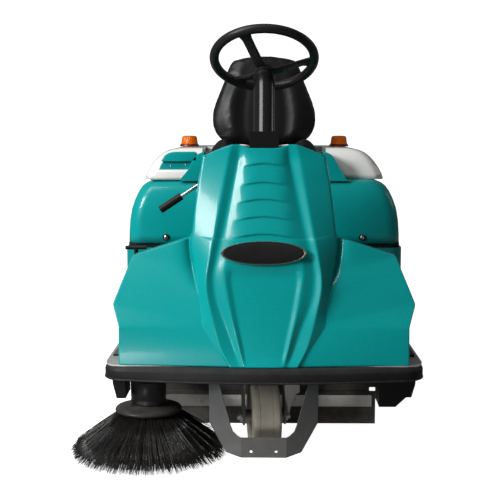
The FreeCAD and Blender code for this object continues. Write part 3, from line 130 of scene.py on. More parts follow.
def to_middle(bm: bmesh.types.BMesh) -> None:
    """Moves a mesh that was made round the origin to the machine's middle plane."""
    bmesh.ops.translate(bm, vec=(AXIS_X, 0.0, 0.0), verts=bm.verts)


def round_edges(bm: bmesh.types.BMesh, edges: list, radius: float, segments: int = 3) -> None:
    """Rounds edges of a mesh to a radius in metres."""
    bmesh.ops.bevel(bm, geom=edges, offset=radius, offset_type="OFFSET", segments=segments, profile=0.5,
                    affect="EDGES", material=-1, clamp_overlap=True)


def into_mesh(bm: bmesh.types.BMesh, name: str) -> bpy.types.Mesh:
    """Turns a bmesh into a mesh and frees it."""
    mesh = bpy.data.meshes.new(name)
    bm.to_mesh(mesh)
    bm.free()
    return mesh


def add_copy(bm: bmesh.types.BMesh, mesh: bpy.types.Mesh, place: Matrix) -> None:
    """Adds a moved copy of a mesh to a bmesh."""
    copy = mesh.copy()
    copy.transform(place)
    bm.from_mesh(copy)
    bpy.data.meshes.remove(copy)


def shade_smooth(mesh: bpy.types.Mesh) -> None:
    """Gives every face of a mesh smooth shading."""
    for polygon in mesh.polygons:
        polygon.use_smooth = True


def drive(bm: bmesh.types.BMesh, outline: list[tuple[float, float]], stops: list[Matrix],
          ring: bool = False) -> None:
    """Sweeps a closed outline through a list of stops.

    Args:
        bm: the mesh to add to.
        outline: the section's corners, in metres.
        stops: one matrix per stop, from station().
        ring: True to join the last stop to the first, otherwise the ends are capped.
    """
    corners = [bm.verts.new(stops[0] @ Vector((x, y, 0.0))) for x, y in outline]
    edges = [bm.edges.new((a, b)) for a, b in zip(corners, corners[1:] + corners[:1])]
    first = list(edges)
    for before, after in zip(stops, stops[1:]):
        grown = bmesh.ops.extrude_edge_only(bm, edges=edges)
        moved = set(new_parts(grown, bmesh.types.BMVert))
        edges = [e for e in new_parts(grown, bmesh.types.BMEdge) if all(v in moved for v in e.verts)]
        bmesh.ops.transform(bm, matrix=after @ before.inverted(), verts=list(moved))
    if ring:
        bmesh.ops.bridge_loops(bm, edges=first + edges)
    else:
        bmesh.ops.contextual_create(bm, geom=first)
        bmesh.ops.contextual_create(bm, geom=edges)


def rounded(half_x: float, half_y: float, radius: float, steps: int = 3) -> list[tuple[float, float]]:
    """The corners of a rounded rectangle round the origin."""
    points = []
    for quarter, (sx, sy) in enumerate(((1, 1), (-1, 1), (-1, -1), (1, -1))):
        for k in range(steps + 1):
            a = math.radians(90.0 * quarter + 90.0 * k / steps)
            points.append((sx * (half_x - radius) + radius * math.cos(a),
                           sy * (half_y - radius) + radius * math.sin(a)))
    return points


def disc(radius: float, count: int = 10) -> list[tuple[float, float]]:
    """The corners of a round section."""
    angles = [math.tau * k / count for k in range(count)]
    return [(radius * math.cos(a), radius * math.sin(a)) for a in angles]


def turned(bm: bmesh.types.BMesh, profile: list[tuple[float, float]], centre: Vector, axis: Vector,
           steps: int = 48, closed: bool = False) -> None:
    """Spins a profile of (radius, height) points round an axis.

    Args:
        bm: the mesh to add to.
        profile: radius and height of each point, in metres.
        centre: the axis' origin.
        axis: the axis' direction.
        steps: how many faces go round.
        closed: True if the profile's last point joins its first.
    """
    side = axis.orthogonal().normalized()
    line = [bm.verts.new(centre + side * r + axis * h) for r, h in profile]
    edges = [bm.edges.new(pair) for pair in zip(line, line[1:] + (line[:1] if closed else []))]
    bmesh.ops.spin(bm, geom=line + edges, cent=centre, axis=axis, angle=math.tau, steps=steps, use_merge=True)


def step_round(vert: bmesh.types.BMVert, steps: int) -> int:
    """Which of a turned mesh's steps round Z a corner is on."""
    return round(math.atan2(vert.co.y, vert.co.x) / math.tau * steps)


def bump_block(bm: bmesh.types.BMesh, low: Vector, high: Vector, radius: float, segments: int = 3) -> None:
    """Adds a block between two corners with all its edges rounded."""
    made = bmesh.ops.create_cube(bm, size=1.0)["verts"]
    size = high - low
    bmesh.ops.scale(bm, vec=size, verts=made)
    bmesh.ops.translate(bm, vec=(low + high) / 2, verts=made)
    round_edges(bm, list({e for v in made for e in v.link_edges}), radius, segments)


def publish(bm: bmesh.types.BMesh, name: str, finish: "Finish", body: str, stands_for: tuple[str, ...] = (),
            sharp: float = 40.0, outward: bool = True) -> bpy.types.Object:
    """Turns a bmesh into a finished piece that rides on a body.

    Args:
        bm: the mesh, which is freed.
        name: the piece's name.
        finish: what it is made of.
        body: the CAD body that it moves with.
        stands_for: CAD nodes that it replaces.
        sharp: edges over this many degrees stay crisp.
        outward: True to recalculate the normals.

    Returns:
        The new object.
    """
    bmesh.ops.remove_doubles(bm, verts=bm.verts, dist=1e-6)
    if outward:
        bmesh.ops.recalc_face_normals(bm, faces=bm.faces)
    mesh = into_mesh(bm, name)
    shade_smooth(mesh)
    if sharp:
        mesh.set_sharp_from_angle(angle=math.radians(sharp))
    mesh.materials.append(finish.material())
    obj = bpy.data.objects.new(name, mesh)
    bpy.context.scene.collection.objects.link(obj)
    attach(obj, body)
    if stands_for:
        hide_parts(*stands_for)
    log.info("%s: %d faces on %s", name, len(mesh.polygons), body)
    return obj


def add_subsurf(obj: bpy.types.Object, levels: int) -> None:
    """Puts a subdivision surface on a piece, alike in view and render."""
    modifier = obj.modifiers.new("Subdivision", "SUBSURF")
    modifier.levels = modifier.render_levels = levels


def add_wall(obj: bpy.types.Object, thickness: float) -> None:
    """Gives a skin its wall, inwards from its outer face."""
    modifier = obj.modifiers.new("Wall", "SOLIDIFY")
    modifier.thickness = thickness
    modifier.offset = -1.0


# ---- finishes ----------------------------------------------------------------------------------------
class Grain(Enum):
    """The fine texture of a surface."""

    PEEL = "orange peel of sprayed or gelcoated paint"
    MOULDED = "sparkly texture of moulded plastic"
    LEATHER = "pebbled vinyl"
    BRUSHED = "lines of drawn or rolled metal"


class Effects:
    """Shader groups that several finishes share, each made once."""

    made: dict[str, bpy.types.NodeTree] = {}

    @classmethod
    def start(cls, name: str, inputs: dict[str, float], outputs: dict[str, str]) -> tuple:
        """Begins a group with its named sockets.

        Args:
            name: the group's name.
            inputs: number sockets and their usual values.
            outputs: output sockets and their socket types.

        Returns:
            The tree, its input node and its output node.
        """
        tree = bpy.data.node_groups.new(name, "ShaderNodeTree")
        for label, value in inputs.items():
            socket = tree.interface.new_socket(label, in_out="INPUT", socket_type="NodeSocketFloat")
            socket.default_value = value
        for label, kind in outputs.items():
            tree.interface.new_socket(label, in_out="OUTPUT", socket_type=kind)
        cls.made[name] = tree
        return tree, tree.nodes.new("NodeGroupInput"), tree.nodes.new("NodeGroupOutput")

    @classmethod
    def math(cls, tree: bpy.types.NodeTree, operation: str, first: object, second: object = 0.0,
             third: object = 0.0) -> bpy.types.NodeSocket:
        """A Math node fed by sockets or numbers, and its result."""
        node = tree.nodes.new("ShaderNodeMath")
        node.operation = operation
        for socket, value in zip(node.inputs, (first, second, third)):
            if isinstance(value, bpy.types.NodeSocket):
                tree.links.new(value, socket)
            else:
                socket.default_value = value
        return node.outputs[0]

    @classmethod
    def noise(cls, tree: bpy.types.NodeTree, vector: object, scale: object, detail: float = 3.0,
              rough: float = 0.55) -> bpy.types.NodeSocket:
        """A noise texture's value on a vector."""
        node = tree.nodes.new("ShaderNodeTexNoise")
        node.inputs["Detail"].default_value = detail
        node.inputs["Roughness"].default_value = rough
        tree.links.new(vector, node.inputs["Vector"])
        if isinstance(scale, bpy.types.NodeSocket):
            tree.links.new(scale, node.inputs["Scale"])
        else:
            node.inputs["Scale"].default_value = scale
        return node.outputs["Fac"]

    @classmethod
    def place(cls, tree: bpy.types.NodeTree, stretch: Colour = (1.0, 1.0, 1.0)) -> bpy.types.NodeSocket:
        """Object coordinates, stretched along the axes."""
        coordinates = tree.nodes.new("ShaderNodeTexCoord")
        mapping = tree.nodes.new("ShaderNodeMapping")
        mapping.inputs["Scale"].default_value = stretch
        tree.links.new(coordinates.outputs["Object"], mapping.inputs["Vector"])
        return mapping.outputs["Vector"]

    @classmethod
    def grain(cls, kind: Grain) -> bpy.types.NodeTree:
        """A surface's fine relief, as a height from 0 to 1."""
        name = f"Grain {kind.name.lower()}"
        if name in cls.made:
            return cls.made[name]
        tree, given, out = cls.start(name, {"Scale": 400.0}, {"Height": "NodeSocketFloat"})
        stretch = (1.0, 1.0, 14.0) if kind is Grain.BRUSHED else (1.0, 1.0, 1.0)
        place = cls.place(tree, stretch)
        value = cls.noise(tree, place, given.outputs["Scale"], 2.0 if kind is Grain.PEEL else 5.0)
        if kind is Grain.LEATHER:
            cells = tree.nodes.new("ShaderNodeTexVoronoi")
            cells.feature = "SMOOTH_F1"
            tree.links.new(place, cells.inputs["Vector"])
            tree.links.new(given.outputs["Scale"], cells.inputs["Scale"])
            value = cls.math(tree, "MULTIPLY_ADD", cells.outputs["Distance"], -0.8, value)
        tree.links.new(value, out.inputs["Height"])
        return tree

    @classmethod
    def mottle(cls) -> bpy.types.NodeTree:
        """Slow and fine unevenness of a colour, as a factor round 0; on the bristles it is strong enough to
        paint lighter glints.
        """
        if "Mottle" in cls.made:
            return cls.made["Mottle"]
        tree, given, out = cls.start("Mottle", {"Amount": 0.1, "Scale": 12.0}, {"Factor": "NodeSocketFloat"})
        place = cls.place(tree)
        slow = cls.noise(tree, place, given.outputs["Scale"], 4.0)
        fine = cls.noise(tree, place, cls.math(tree, "MULTIPLY", given.outputs["Scale"], 9.0), 5.0)
        both = cls.math(tree, "MULTIPLY_ADD", fine, 0.5, slow)
        centred = cls.math(tree, "SUBTRACT", both, 0.75)
        tree.links.new(cls.math(tree, "MULTIPLY", centred, given.outputs["Amount"]), out.inputs["Factor"])
        return tree

    @classmethod
    def dust(cls) -> bpy.types.NodeTree:
        """Dust that settles on what faces up and creeps up from the ground; on the bumper it also paints
        light from above onto the top chamfer.
        """
        if "Dust" in cls.made:
            return cls.made["Dust"]
        tree, given, out = cls.start("Dust", {"Amount": 0.2, "Splash": 0.0}, {"Mask": "NodeSocketFloat"})
        geometry = tree.nodes.new("ShaderNodeNewGeometry")
        split = tree.nodes.new("ShaderNodeSeparateXYZ")
        tree.links.new(geometry.outputs["Normal"], split.inputs[0])
        facing = cls.math(tree, "MAXIMUM", split.outputs["Z"], 0.0)
        place = cls.place(tree)
        height = tree.nodes.new("ShaderNodeSeparateXYZ")
        tree.links.new(place, height.inputs[0])
        low = cls.math(tree, "MAXIMUM", cls.math(tree, "MULTIPLY_ADD", height.outputs["Z"], -4.0, 1.0), 0.0)
        patch = cls.noise(tree, place, 22.0, 7.0, 0.65)
        fine = cls.noise(tree, place, 340.0, 3.0, 0.7)
        patchy = cls.math(tree, "MULTIPLY", patch, cls.math(tree, "MULTIPLY_ADD", fine, 1.2, 0.4))
        lying = cls.math(tree, "MULTIPLY", facing, given.outputs["Amount"])
        splashed = cls.math(tree, "MULTIPLY", low, given.outputs["Splash"])
        total = cls.math(tree, "MULTIPLY", cls.math(tree, "ADD", lying, splashed), patchy)
        clamp = cls.math(tree, "MINIMUM", total, 1.0)
        tree.links.new(clamp, out.inputs["Mask"])
        return tree

    @classmethod
    def edges(cls) -> bpy.types.NodeTree:
        """Rounded-over edges: a softened normal, and a mask of where the edge is, broken up by noise."""
        if "Edges" in cls.made:
            return cls.made["Edges"]
        tree, given, out = cls.start("Edges", {"Radius": 0.002, "Wear": 0.3},
                                     {"Normal": "NodeSocketVector", "Mask": "NodeSocketFloat"})
        bevel = tree.nodes.new("ShaderNodeBevel")
        bevel.samples = 4
        tree.links.new(given.outputs["Radius"], bevel.inputs["Radius"])
        geometry = tree.nodes.new("ShaderNodeNewGeometry")
        dot = tree.nodes.new("ShaderNodeVectorMath")
        dot.operation = "DOT_PRODUCT"
        tree.links.new(bevel.outputs[0], dot.inputs[0])
        tree.links.new(geometry.outputs["Normal"], dot.inputs[1])
        bend = cls.math(tree, "SUBTRACT", 1.0, dot.outputs["Value"])
        chipped = cls.noise(tree, cls.place(tree), 130.0, 6.0, 0.7)
        gate = cls.math(tree, "MULTIPLY_ADD", chipped, 9.0, -4.2)
        mask = cls.math(tree, "MULTIPLY", cls.math(tree, "MULTIPLY", bend, 7.0), gate)
        limited = cls.math(tree, "MINIMUM", cls.math(tree, "MAXIMUM", mask, 0.0), 1.0)
        tree.links.new(bevel.outputs[0], out.inputs["Normal"])
        tree.links.new(cls.math(tree, "MULTIPLY", limited, given.outputs["Wear"]), out.inputs["Mask"])
        return tree

    @classmethod
    def scuffs(cls) -> bpy.types.NodeTree:
        """Faint rubbed marks that change the gloss."""
        if "Scuffs" in cls.made:
            return cls.made["Scuffs"]
        tree, given, out = cls.start("Scuffs", {"Amount": 0.1}, {"Factor": "NodeSocketFloat"})
        along = cls.noise(tree, cls.place(tree, (3.0, 60.0, 160.0)), 5.0, 4.0)
        across = cls.noise(tree, cls.place(tree, (180.0, 40.0, 3.0)), 4.0, 4.0)
        both = cls.math(tree, "SUBTRACT", cls.math(tree, "ADD", along, across), 1.0)
        tree.links.new(cls.math(tree, "MULTIPLY", both, given.outputs["Amount"]), out.inputs["Factor"])
        return tree


@dataclass(frozen=True)
class Finish:
    """One finish of the machine, and the material made from it.

    Sizes are in millimetres; amounts run from 0 to 1.
    """

    name: str
    colour: Colour
    roughness: float = 0.5
    metallic: float = 0.0
    coat: float = 0.0
    coat_roughness: float = 0.06
    specular: float = 0.5
    grain: Grain = Grain.MOULDED
    grain_size: float = 1.2
    relief: float = 0.12
    mottle: float = 0.18
    mottle_size: float = 90.0
    dust: float = 0.12
    splash: float = 0.0
    dust_colour: Colour = (0.36, 0.33, 0.29)
    wear: float = 0.0
    wear_colour: Colour = (0.3, 0.3, 0.3)
    edge: float = 1.6
    scuff: float = 0.12
    transmission: float = 0.0
    glow: float = 0.0

    def material(self) -> bpy.types.Material:
        """The node material, made on first use."""
        return bpy.data.materials.get(f"{self.name}_finish") or self.build()

    def build(self) -> bpy.types.Material:
        """Wires the shared effects into one Principled surface.

        Returns:
            The new material.
        """
        material = bpy.data.materials.new(f"{self.name}_finish")
        material.use_nodes = True
        material.diffuse_color = (*self.colour, 1.0)
        tree = material.node_tree
        surface = tree.nodes["Principled BSDF"]
        surface.inputs["Metallic"].default_value = self.metallic
        surface.inputs["Coat Weight"].default_value = self.coat
        surface.inputs["Coat Roughness"].default_value = self.coat_roughness
        surface.inputs["Specular IOR Level"].default_value = self.specular
        surface.inputs["Transmission Weight"].default_value = self.transmission
        mottle = self.effect(tree, Effects.mottle(), Amount=self.mottle, Scale=1000.0 / self.mottle_size)
        dust = self.effect(tree, Effects.dust(), Amount=self.dust, Splash=self.splash)
        scuffs = self.effect(tree, Effects.scuffs(), Amount=self.scuff)
        grain = self.effect(tree, Effects.grain(self.grain), Scale=1000.0 / self.grain_size)
        shade = tree.nodes.new("ShaderNodeHueSaturation")
        shade.inputs["Color"].default_value = (*self.colour, 1.0)
        tree.links.new(Effects.math(tree, "ADD", mottle.outputs["Factor"], 1.0), shade.inputs["Value"])
        colour = shade.outputs["Color"]
        edges = self.effect(tree, Effects.edges(), Radius=self.edge * MM, Wear=self.wear)
        # Lighter rubbed edges: real wear, and on the bumper also a painted highlight along its edges.
        if self.wear:
            colour = self.mix(tree, edges.outputs["Mask"], colour, self.wear_colour)
        # Dust lightens what faces up; on the bumper this is also painted light on its top chamfer.
        colour = self.mix(tree, dust.outputs["Mask"], colour, self.dust_colour)
        tree.links.new(colour, surface.inputs["Base Color"])
        rough = Effects.math(tree, "ADD", scuffs.outputs["Factor"], self.roughness)
        rough = Effects.math(tree, "MULTIPLY_ADD", dust.outputs["Mask"], 0.45, rough)
        tree.links.new(Effects.math(tree, "MINIMUM", Effects.math(tree, "MAXIMUM", rough, 0.03), 1.0),
                       surface.inputs["Roughness"])
        relief = tree.nodes.new("ShaderNodeBump")
        relief.inputs["Strength"].default_value = self.relief
        relief.inputs["Distance"].default_value = self.grain_size * MM * 0.5
        tree.links.new(grain.outputs["Height"], relief.inputs["Height"])
        tree.links.new(edges.outputs["Normal"], relief.inputs["Normal"])
        tree.links.new(relief.outputs["Normal"], surface.inputs["Normal"])
        if self.glow:
            surface.inputs["Emission Color"].default_value = (*self.colour, 1.0)
            surface.inputs["Emission Strength"].default_value = self.glow
        return material

    @staticmethod
    def effect(tree: bpy.types.NodeTree, group: bpy.types.NodeTree, **values: float) -> bpy.types.Node:
        """Places a shared effect in a material with its own values."""
        node = tree.nodes.new("ShaderNodeGroup")
        node.node_tree = group
        for label, value in values.items():
            node.inputs[label].default_value = value
        return node

    @staticmethod
    def mix(tree: bpy.types.NodeTree, mask: bpy.types.NodeSocket, under: bpy.types.NodeSocket,
            over: Colour) -> bpy.types.NodeSocket:
        """Lays one colour over another through a mask."""
        node = tree.nodes.new("ShaderNodeMix")
        node.data_type = "RGBA"
        tree.links.new(mask, node.inputs["Factor"])
        tree.links.new(under, node.inputs["A"])
        node.inputs["B"].default_value = (*over, 1.0)
        return node.outputs["Result"]


TEAL: Colour = (0.0, 0.3, 0.295)
TEAL_GLOSS = Finish("teal_gloss_paint", TEAL, roughness=0.27, coat=0.2, coat_roughness=0.1, specular=0.18,
                    grain=Grain.PEEL, grain_size=5.0, relief=0.09, mottle=0.05, dust=0.04, edge=2.0,
                    scuff=0.04)
TEAL_SATIN = Finish("teal_satin_paint", (0.0, 0.25, 0.245), roughness=0.34, coat=0.2, specular=0.2,
                    grain=Grain.PEEL, grain_size=5.0, relief=0.08, dust=0.1, edge=2.0)
COVER_WHITE = Finish("cover_white_paint", (0.86, 0.86, 0.83), roughness=0.2, coat=0.8, grain=Grain.PEEL,
                     grain_size=9.0, relief=0.05, mottle=0.04, dust=0.05, edge=2.5, scuff=0.04)
# The bumper's dust on its up-facing top chamfer is partly painted light from above, which makes the chamfer
# lighter, and partly real dust.
BUMPER = Finish("bumper_plastic", (0.009, 0.009, 0.0095), roughness=0.46, specular=0.12, grain_size=1.6,
                # Its lighter rubbed edges are partly a painted highlight along the lower lip and edges, and
                # partly real wear.
                relief=0.25, mottle=0.3, dust=0.16, dust_colour=(0.3, 0.3, 0.29), wear=0.4,
                wear_colour=(0.13, 0.13, 0.125), edge=3.0, scuff=0.2)
GUARD = Finish("guard_grey_paint", (0.058, 0.06, 0.062), roughness=0.46, specular=0.2, metallic=0.15,
               grain=Grain.PEEL, grain_size=2.5, relief=0.14, mottle=0.2, splash=0.35, wear=0.6,
               wear_colour=(0.3, 0.29, 0.28), edge=2.4)
FRAME = Finish("frame_black_paint", (0.018, 0.018, 0.019), roughness=0.5, specular=0.2, grain=Grain.PEEL,
               grain_size=2.5, relief=0.15, dust=0.35, splash=0.4, wear=0.4, edge=2.0)
PLATE = Finish("plate_bare_metal", (0.6, 0.6, 0.58), roughness=0.42, metallic=0.55, grain=Grain.BRUSHED,
               grain_size=2.0, relief=0.12, dust=0.35, edge=1.6, mottle=0.4, mottle_size=40.0, scuff=0.3)
ZINC = Finish("zinc_plate", (0.62, 0.62, 0.58), roughness=0.36, metallic=0.85, grain=Grain.BRUSHED,
              grain_size=2.2, relief=0.1, mottle=0.35, mottle_size=24.0, splash=0.45, dust=0.2, scuff=0.25,
              edge=1.0)
STEEL = Finish("bright_steel", (0.72, 0.72, 0.70), roughness=0.2, metallic=1.0, grain=Grain.BRUSHED,
               grain_size=2.0, relief=0.06, edge=1.0, scuff=0.12)
BLACK_GLOSS = Finish("black_gloss_paint", (0.006, 0.006, 0.007), roughness=0.16, specular=0.3, coat=0.3,
                     grain=Grain.PEEL, grain_size=7.0, relief=0.04, mottle=0.1, dust=0.06, edge=1.8,
                     scuff=0.06)
BLACK_PLASTIC = Finish("black_plastic", (0.009, 0.009, 0.0095), roughness=0.42, specular=0.12,
                       grain_size=1.3, relief=0.2, mottle=0.2, dust=0.2, edge=1.6, scuff=0.14)
WHEEL_GRIP = Finish("wheel_grip_plastic", (0.013, 0.012, 0.0115), roughness=0.36, specular=0.2,
                    grain_size=0.9, relief=0.22, mottle=0.2, dust=0.12, edge=2.0, scuff=0.12)
RUBBER = Finish("black_rubber", (0.012, 0.012, 0.012), roughness=0.78, specular=0.12, grain_size=1.5,
                relief=0.3, dust=0.4, splash=0.5, edge=1.4, scuff=0.15)
TYRE = Finish("tyre_rubber", (0.36, 0.335, 0.27), roughness=0.72, grain_size=2.2, relief=0.4, mottle=0.55,
              mottle_size=30.0, dust=0.3, splash=0.7, dust_colour=(0.33, 0.3, 0.24), edge=2.0, scuff=0.15)
FORK = Finish("fork_cast_grey", (0.21, 0.2, 0.195), roughness=0.52, metallic=0.35, grain_size=2.4,
              relief=0.35, mottle=0.45, mottle_size=30.0, splash=0.5, wear=0.5,
              wear_colour=(0.45, 0.44, 0.42), edge=2.0)
ALLOY = Finish("hub_alloy", (0.42, 0.41, 0.39), roughness=0.4, metallic=0.8, grain_size=2.0, relief=0.2,
               mottle=0.3, splash=0.5, edge=1.6)
BRUSH_PLASTIC = Finish("brush_plastic", (0.012, 0.012, 0.012), roughness=0.34, specular=0.18,
                       grain_size=1.6, relief=0.16, mottle=0.25, dust=0.25, edge=3.0, scuff=0.2)
# The strong mottle flecks the strands lighter: painted glints as well as random tone.
BRISTLE = Finish("bristle_black", (0.008, 0.0076, 0.0072), roughness=0.26, specular=0.5, grain_size=1.0,
                 relief=0.1, mottle=2.2, mottle_size=20.0, dust=0.05, splash=0.06, edge=0.1, scuff=0.25)
AMBER = Finish("beacon_amber", (0.6, 0.12, 0.004), roughness=0.22, coat=0.08, specular=0.2,
               grain=Grain.PEEL, grain_size=6.0, relief=0.05, mottle=0.9, mottle_size=22.0, dust=0.0,
               edge=1.0, scuff=0.03, glow=0.1)
BEACON_BASE = Finish("beacon_base", (0.1, 0.008, 0.003), roughness=0.35, grain_size=1.2, relief=0.1, edge=1.0)
VINYL = Finish("seat_vinyl", (0.008, 0.0078, 0.0077), roughness=0.38, specular=0.22, grain=Grain.LEATHER,
               grain_size=2.2, relief=0.16, mottle=0.2, dust=0.04, edge=0.4, scuff=0.08)
BADGE = Finish("badge_black", (0.007, 0.007, 0.008), roughness=0.12, specular=0.4, coat=0.7,
               grain=Grain.PEEL, grain_size=8.0, relief=0.03, edge=1.0, scuff=0.04)
BADGE_RIM = Finish("badge_rim", (0.55, 0.5, 0.4), roughness=0.28, metallic=1.0, grain=Grain.BRUSHED,
                   grain_size=1.5, relief=0.04, edge=0.6)
MAT = Finish("mat_rubber", (0.015, 0.015, 0.015), roughness=0.7, specular=0.15, grain_size=1.5, relief=0.35,
             dust=0.7, edge=1.0)
HOPPER = Finish("hopper_paint", (0.03, 0.03, 0.031), roughness=0.45, specular=0.2, grain=Grain.PEEL,
                grain_size=3.0, relief=0.16, dust=0.3, splash=0.4, wear=0.5, wear_colour=(0.3, 0.29, 0.28),
                edge=2.2)
BATTERY = Finish("battery_case", (0.05, 0.05, 0.055), roughness=0.4, grain_size=1.6, relief=0.15, dust=0.4,
                 edge=3.0)
LINER = Finish("dark_liner", (0.01, 0.012, 0.012), roughness=0.6, specular=0.1, grain_size=2.0, relief=0.2,
               dust=0.2, edge=1.0)


def dress(node: str, finish: Finish) -> None:
    """Gives a CAD node that stays in view its finish."""
    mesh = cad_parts[node].data
    mesh.materials.clear()
    mesh.materials.append(finish.material())
    log.info("%s: dressed in %s", node, finish.name)


# ---- cowl ----------------------------------------------------------------------------------------------
@dataclass
class Cowl:
    """The pressed front cowl: a fluted column between two folded wings. Sizes in millimetres."""

    wall: float = 4.0
    rib: float = 5.0
    recess: float = 10.0
    flute: float = 11.0
    back: float = -536.0
    #: Height and depth of the middle line.
    middle: Curve = ((316, -716), (372, -709), (428, -701), (465, -694), (528, -681), (580, -668),
                     (640, -652), (688, -640), (766, -616), (862, -588), (930, -572), (970, -564))
    #: Half widths against height of the lines that run up the cowl.
    panel_in: Curve = ((316, 49), (470, 81), (561, 97), (600, 97), (650, 74), (960, 34))
    panel_out: Curve = ((316, 59), (484, 101), (578, 117), (610, 117), (660, 100), (704, 92), (806, 75),
                        (912, 61), (970, 52))
    groove: Curve = ((316, 70), (404, 100), (490, 137), (541, 150), (590, 151), (766, 112), (952, 73),
                     (970, 70))
    band: Curve = ((316, 100), (375, 131), (480, 158), (537, 172), (573, 173), (766, 138), (948, 105),
                   (970, 98))
    edge: Curve = ((316, 105), (366, 137), (430, 184), (490, 190), (527, 196), (659, 219), (688, 219),
                   (766, 211), (861, 198), (934, 184))
    edge_y: Curve = ((316, -704), (366, -697), (430, -676), (490, -657), (527, -645), (600, -615),
                     (688, -592), (862, -556), (940, -546))
    #: Each arched rib's height in the middle, and half the height of its step.
    ribs: tuple = (704, 755, 806, 856, 912)
    rib_step: float = 1.7
    #: Lower rows: height in the middle, on the fold and at the outer edge, then the outer edge's x and y.
    rows: tuple = ((316, 316, 316, 433, -684), (346, 346, 352, 433.5, -680), (386, 376, 394, 433.5, -673),
                   (430, 428, 427, 434, -667), (458, 443, 491, 457, -625), (492, 488, 552, 433, -602),
                   (530, 527, 620, 406, -571), (562, 562, 624, 404.5, -569), (587, 592, 626, 403.5, -568),
                   (606, 622, 628, 402.5, -567), (648, 656, 629.5, 401.5, -566.5),
                   (682, 688, 631, 400.5, -566))
    #: Half width, height and depth of the top edge's corners, with its dip, peak and shoulder.
    top: tuple = ((0, 957, -568), (18, 957, -568), (38, 957, -567), (56, 960, -565), (74, 968, -560),
                  (98, 968, -563), (140, 954, -555), (182, 935, -546))
    #: Cage lines on the column, and on the whole right half.
    on_column: int = 8
    across: int = 15
    #: How far each line on the column has gone over from the middle's height to the edge's.
    shares: tuple = (0.0, 0.12, 0.25, 0.4, 0.55, 0.7, 0.85, 1.0)
    #: How far each line on the column drops under an arched rib.
    drops: tuple = (0.0, 2.0, 8.0, 14.0, 15.0, 12.0, 8.0, 0.0)
    #: How far the column leans back, for how far up, and the badge's height over its width.
    slope: tuple = (48.0, 190.0)
    badge_shape: float = 36.0 / 128.0

    def column_point(self, col: int, z: float, edge_z: float, lift: float) -> Place:
        """A cage corner on the column.

        Args:
            col: 0 in the middle to 7 on the column's edge.
            z: the row's height in the middle.
            edge_z: the row's height at the column's edge.
            lift: how far the ribbed face stands out there.

        Returns:
            x, y and z in millimetres.
        """
        level = z + (edge_z - z) * self.shares[col]
        y = table(self.middle, level)
        inner, outer = table(self.panel_in, level), table(self.panel_out, level)
        sunk = self.recess * (1.0 - smooth(588, 604, level))
        fade = smooth(318, 352, level)
        fluted = self.flute * fade
        back = table(self.edge_y, level)
        mid_x = (table(self.band, level) + table(self.edge, level)) / 2
        return (
            (0.0, y + sunk * fade - lift, level),
            (inner * 0.5, y + sunk * fade - lift, level),
            (inner, y + 1.0 + sunk * fade - lift, level),
            (outer, y + 2.0 + 1.5 * fade, level),
            (table(self.groove, level), y + 5.0 + fluted, level),
            (table(self.band, level), y + 3.0 + 3.0 * fade, level),
            (mid_x, y + 4.0 + (back - y) * 0.44, level),
            (table(self.edge, level), back, level),
        )[col]

    def cage(self) -> list[Row]:
        """The control cage's rows from the foot to the top, None where the cowl has no surface."""
        rows = [self.wing_row(*row) for row in self.rows]
        rows.append(self.flange_row(rows[-1]))
        heights = []
        for z in self.ribs:
            heights += [(z - self.rib_step, 0.0), (z + self.rib_step, 1.0)]
        heights.append((940.0, 0.25))
        rows += [self.column_row(z, raised) for z, raised in heights[1:]]
        edge = [(x, y, z) for x, z, y in self.top] + [(184, self.back, 933)]
        rows.append(self.short_row(edge))
        rows.append(self.short_row([(x, min(y + 10.0, self.back), z + 1.5) for x, y, z in edge]))
        rows.append(self.short_row([(x, self.back, z - 3.0) for x, _, z in edge]))
        return rows

    def short_row(self, places: list[Place]) -> Row:
        """Fills a row that ends beside the column up to the cage's width."""
        return places + [None] * (self.across - len(places))

    def wing_row(self, z: float, fold_z: float, out_z: float, out_x: float, out_y: float) -> Row:
        """A row across the column and one wing.

        Args:
            z: its height in the middle.
            fold_z: its height on the fold beside the column.
            out_z: its height at the wing's outer edge.
            out_x: the outer edge's half width.
            out_y: the outer edge's depth.

        Returns:
            The row, which has a place on every line of the cage.
        """
        row = [self.column_point(c, z, fold_z, 0.0) for c in range(self.on_column)]
        fx, fy, fz = row[-1]
        folded = smooth(527, 600, fold_z)
        depth = 26.0 * folded
        valley_x = fx + 7.0 * folded + 2.0
        row.append((valley_x, fy + depth, fz - 2.0 * folded))
        for share in (0.1, 0.36, 0.68, 0.93, 1.0):
            x = valley_x + (out_x - valley_x) * share
            y = fy + (out_y - fy) * share + depth * 0.25 * (1 - share)
            row.append((x, y, fz + (out_z - fz) * share))
        return row + [(out_x - 1.0, (out_y + self.back) / 2, out_z)]

    def arch(self, col: int, z: float) -> float:
        """How far an arched line has dropped at a column of the cage."""
        return self.drops[col] * smooth(640, 700, z) * (1 - 0.4 * smooth(700, 950, z))

    def column_row(self, z: float, raised: float) -> Row:
        """A row across the column above the wings, with the sides going back to the panel."""
        row = []
        for col in range(self.on_column):
            lift = self.rib * raised if col < 3 else 0.0
            level = z - self.arch(col, z)
            x, y, _ = self.column_point(col, level, z, lift)
            row.append((x, y, level))
        return self.short_row(row + [(row[-1][0] + 3.0, self.back, z)])

    def flange_row(self, under: Row) -> Row:
        """The row where the wings' tops turn back and the column goes on up."""
        row = self.column_row(self.ribs[0] - self.rib_step, 0.0)[:self.on_column]
        row += [(x, self.back, z + 1.0) for x, _, z in under[self.on_column:]]
        x, y, z = under[-2]
        row[-2] = (x, (y + self.back) / 2, z + 1.0)
        return row

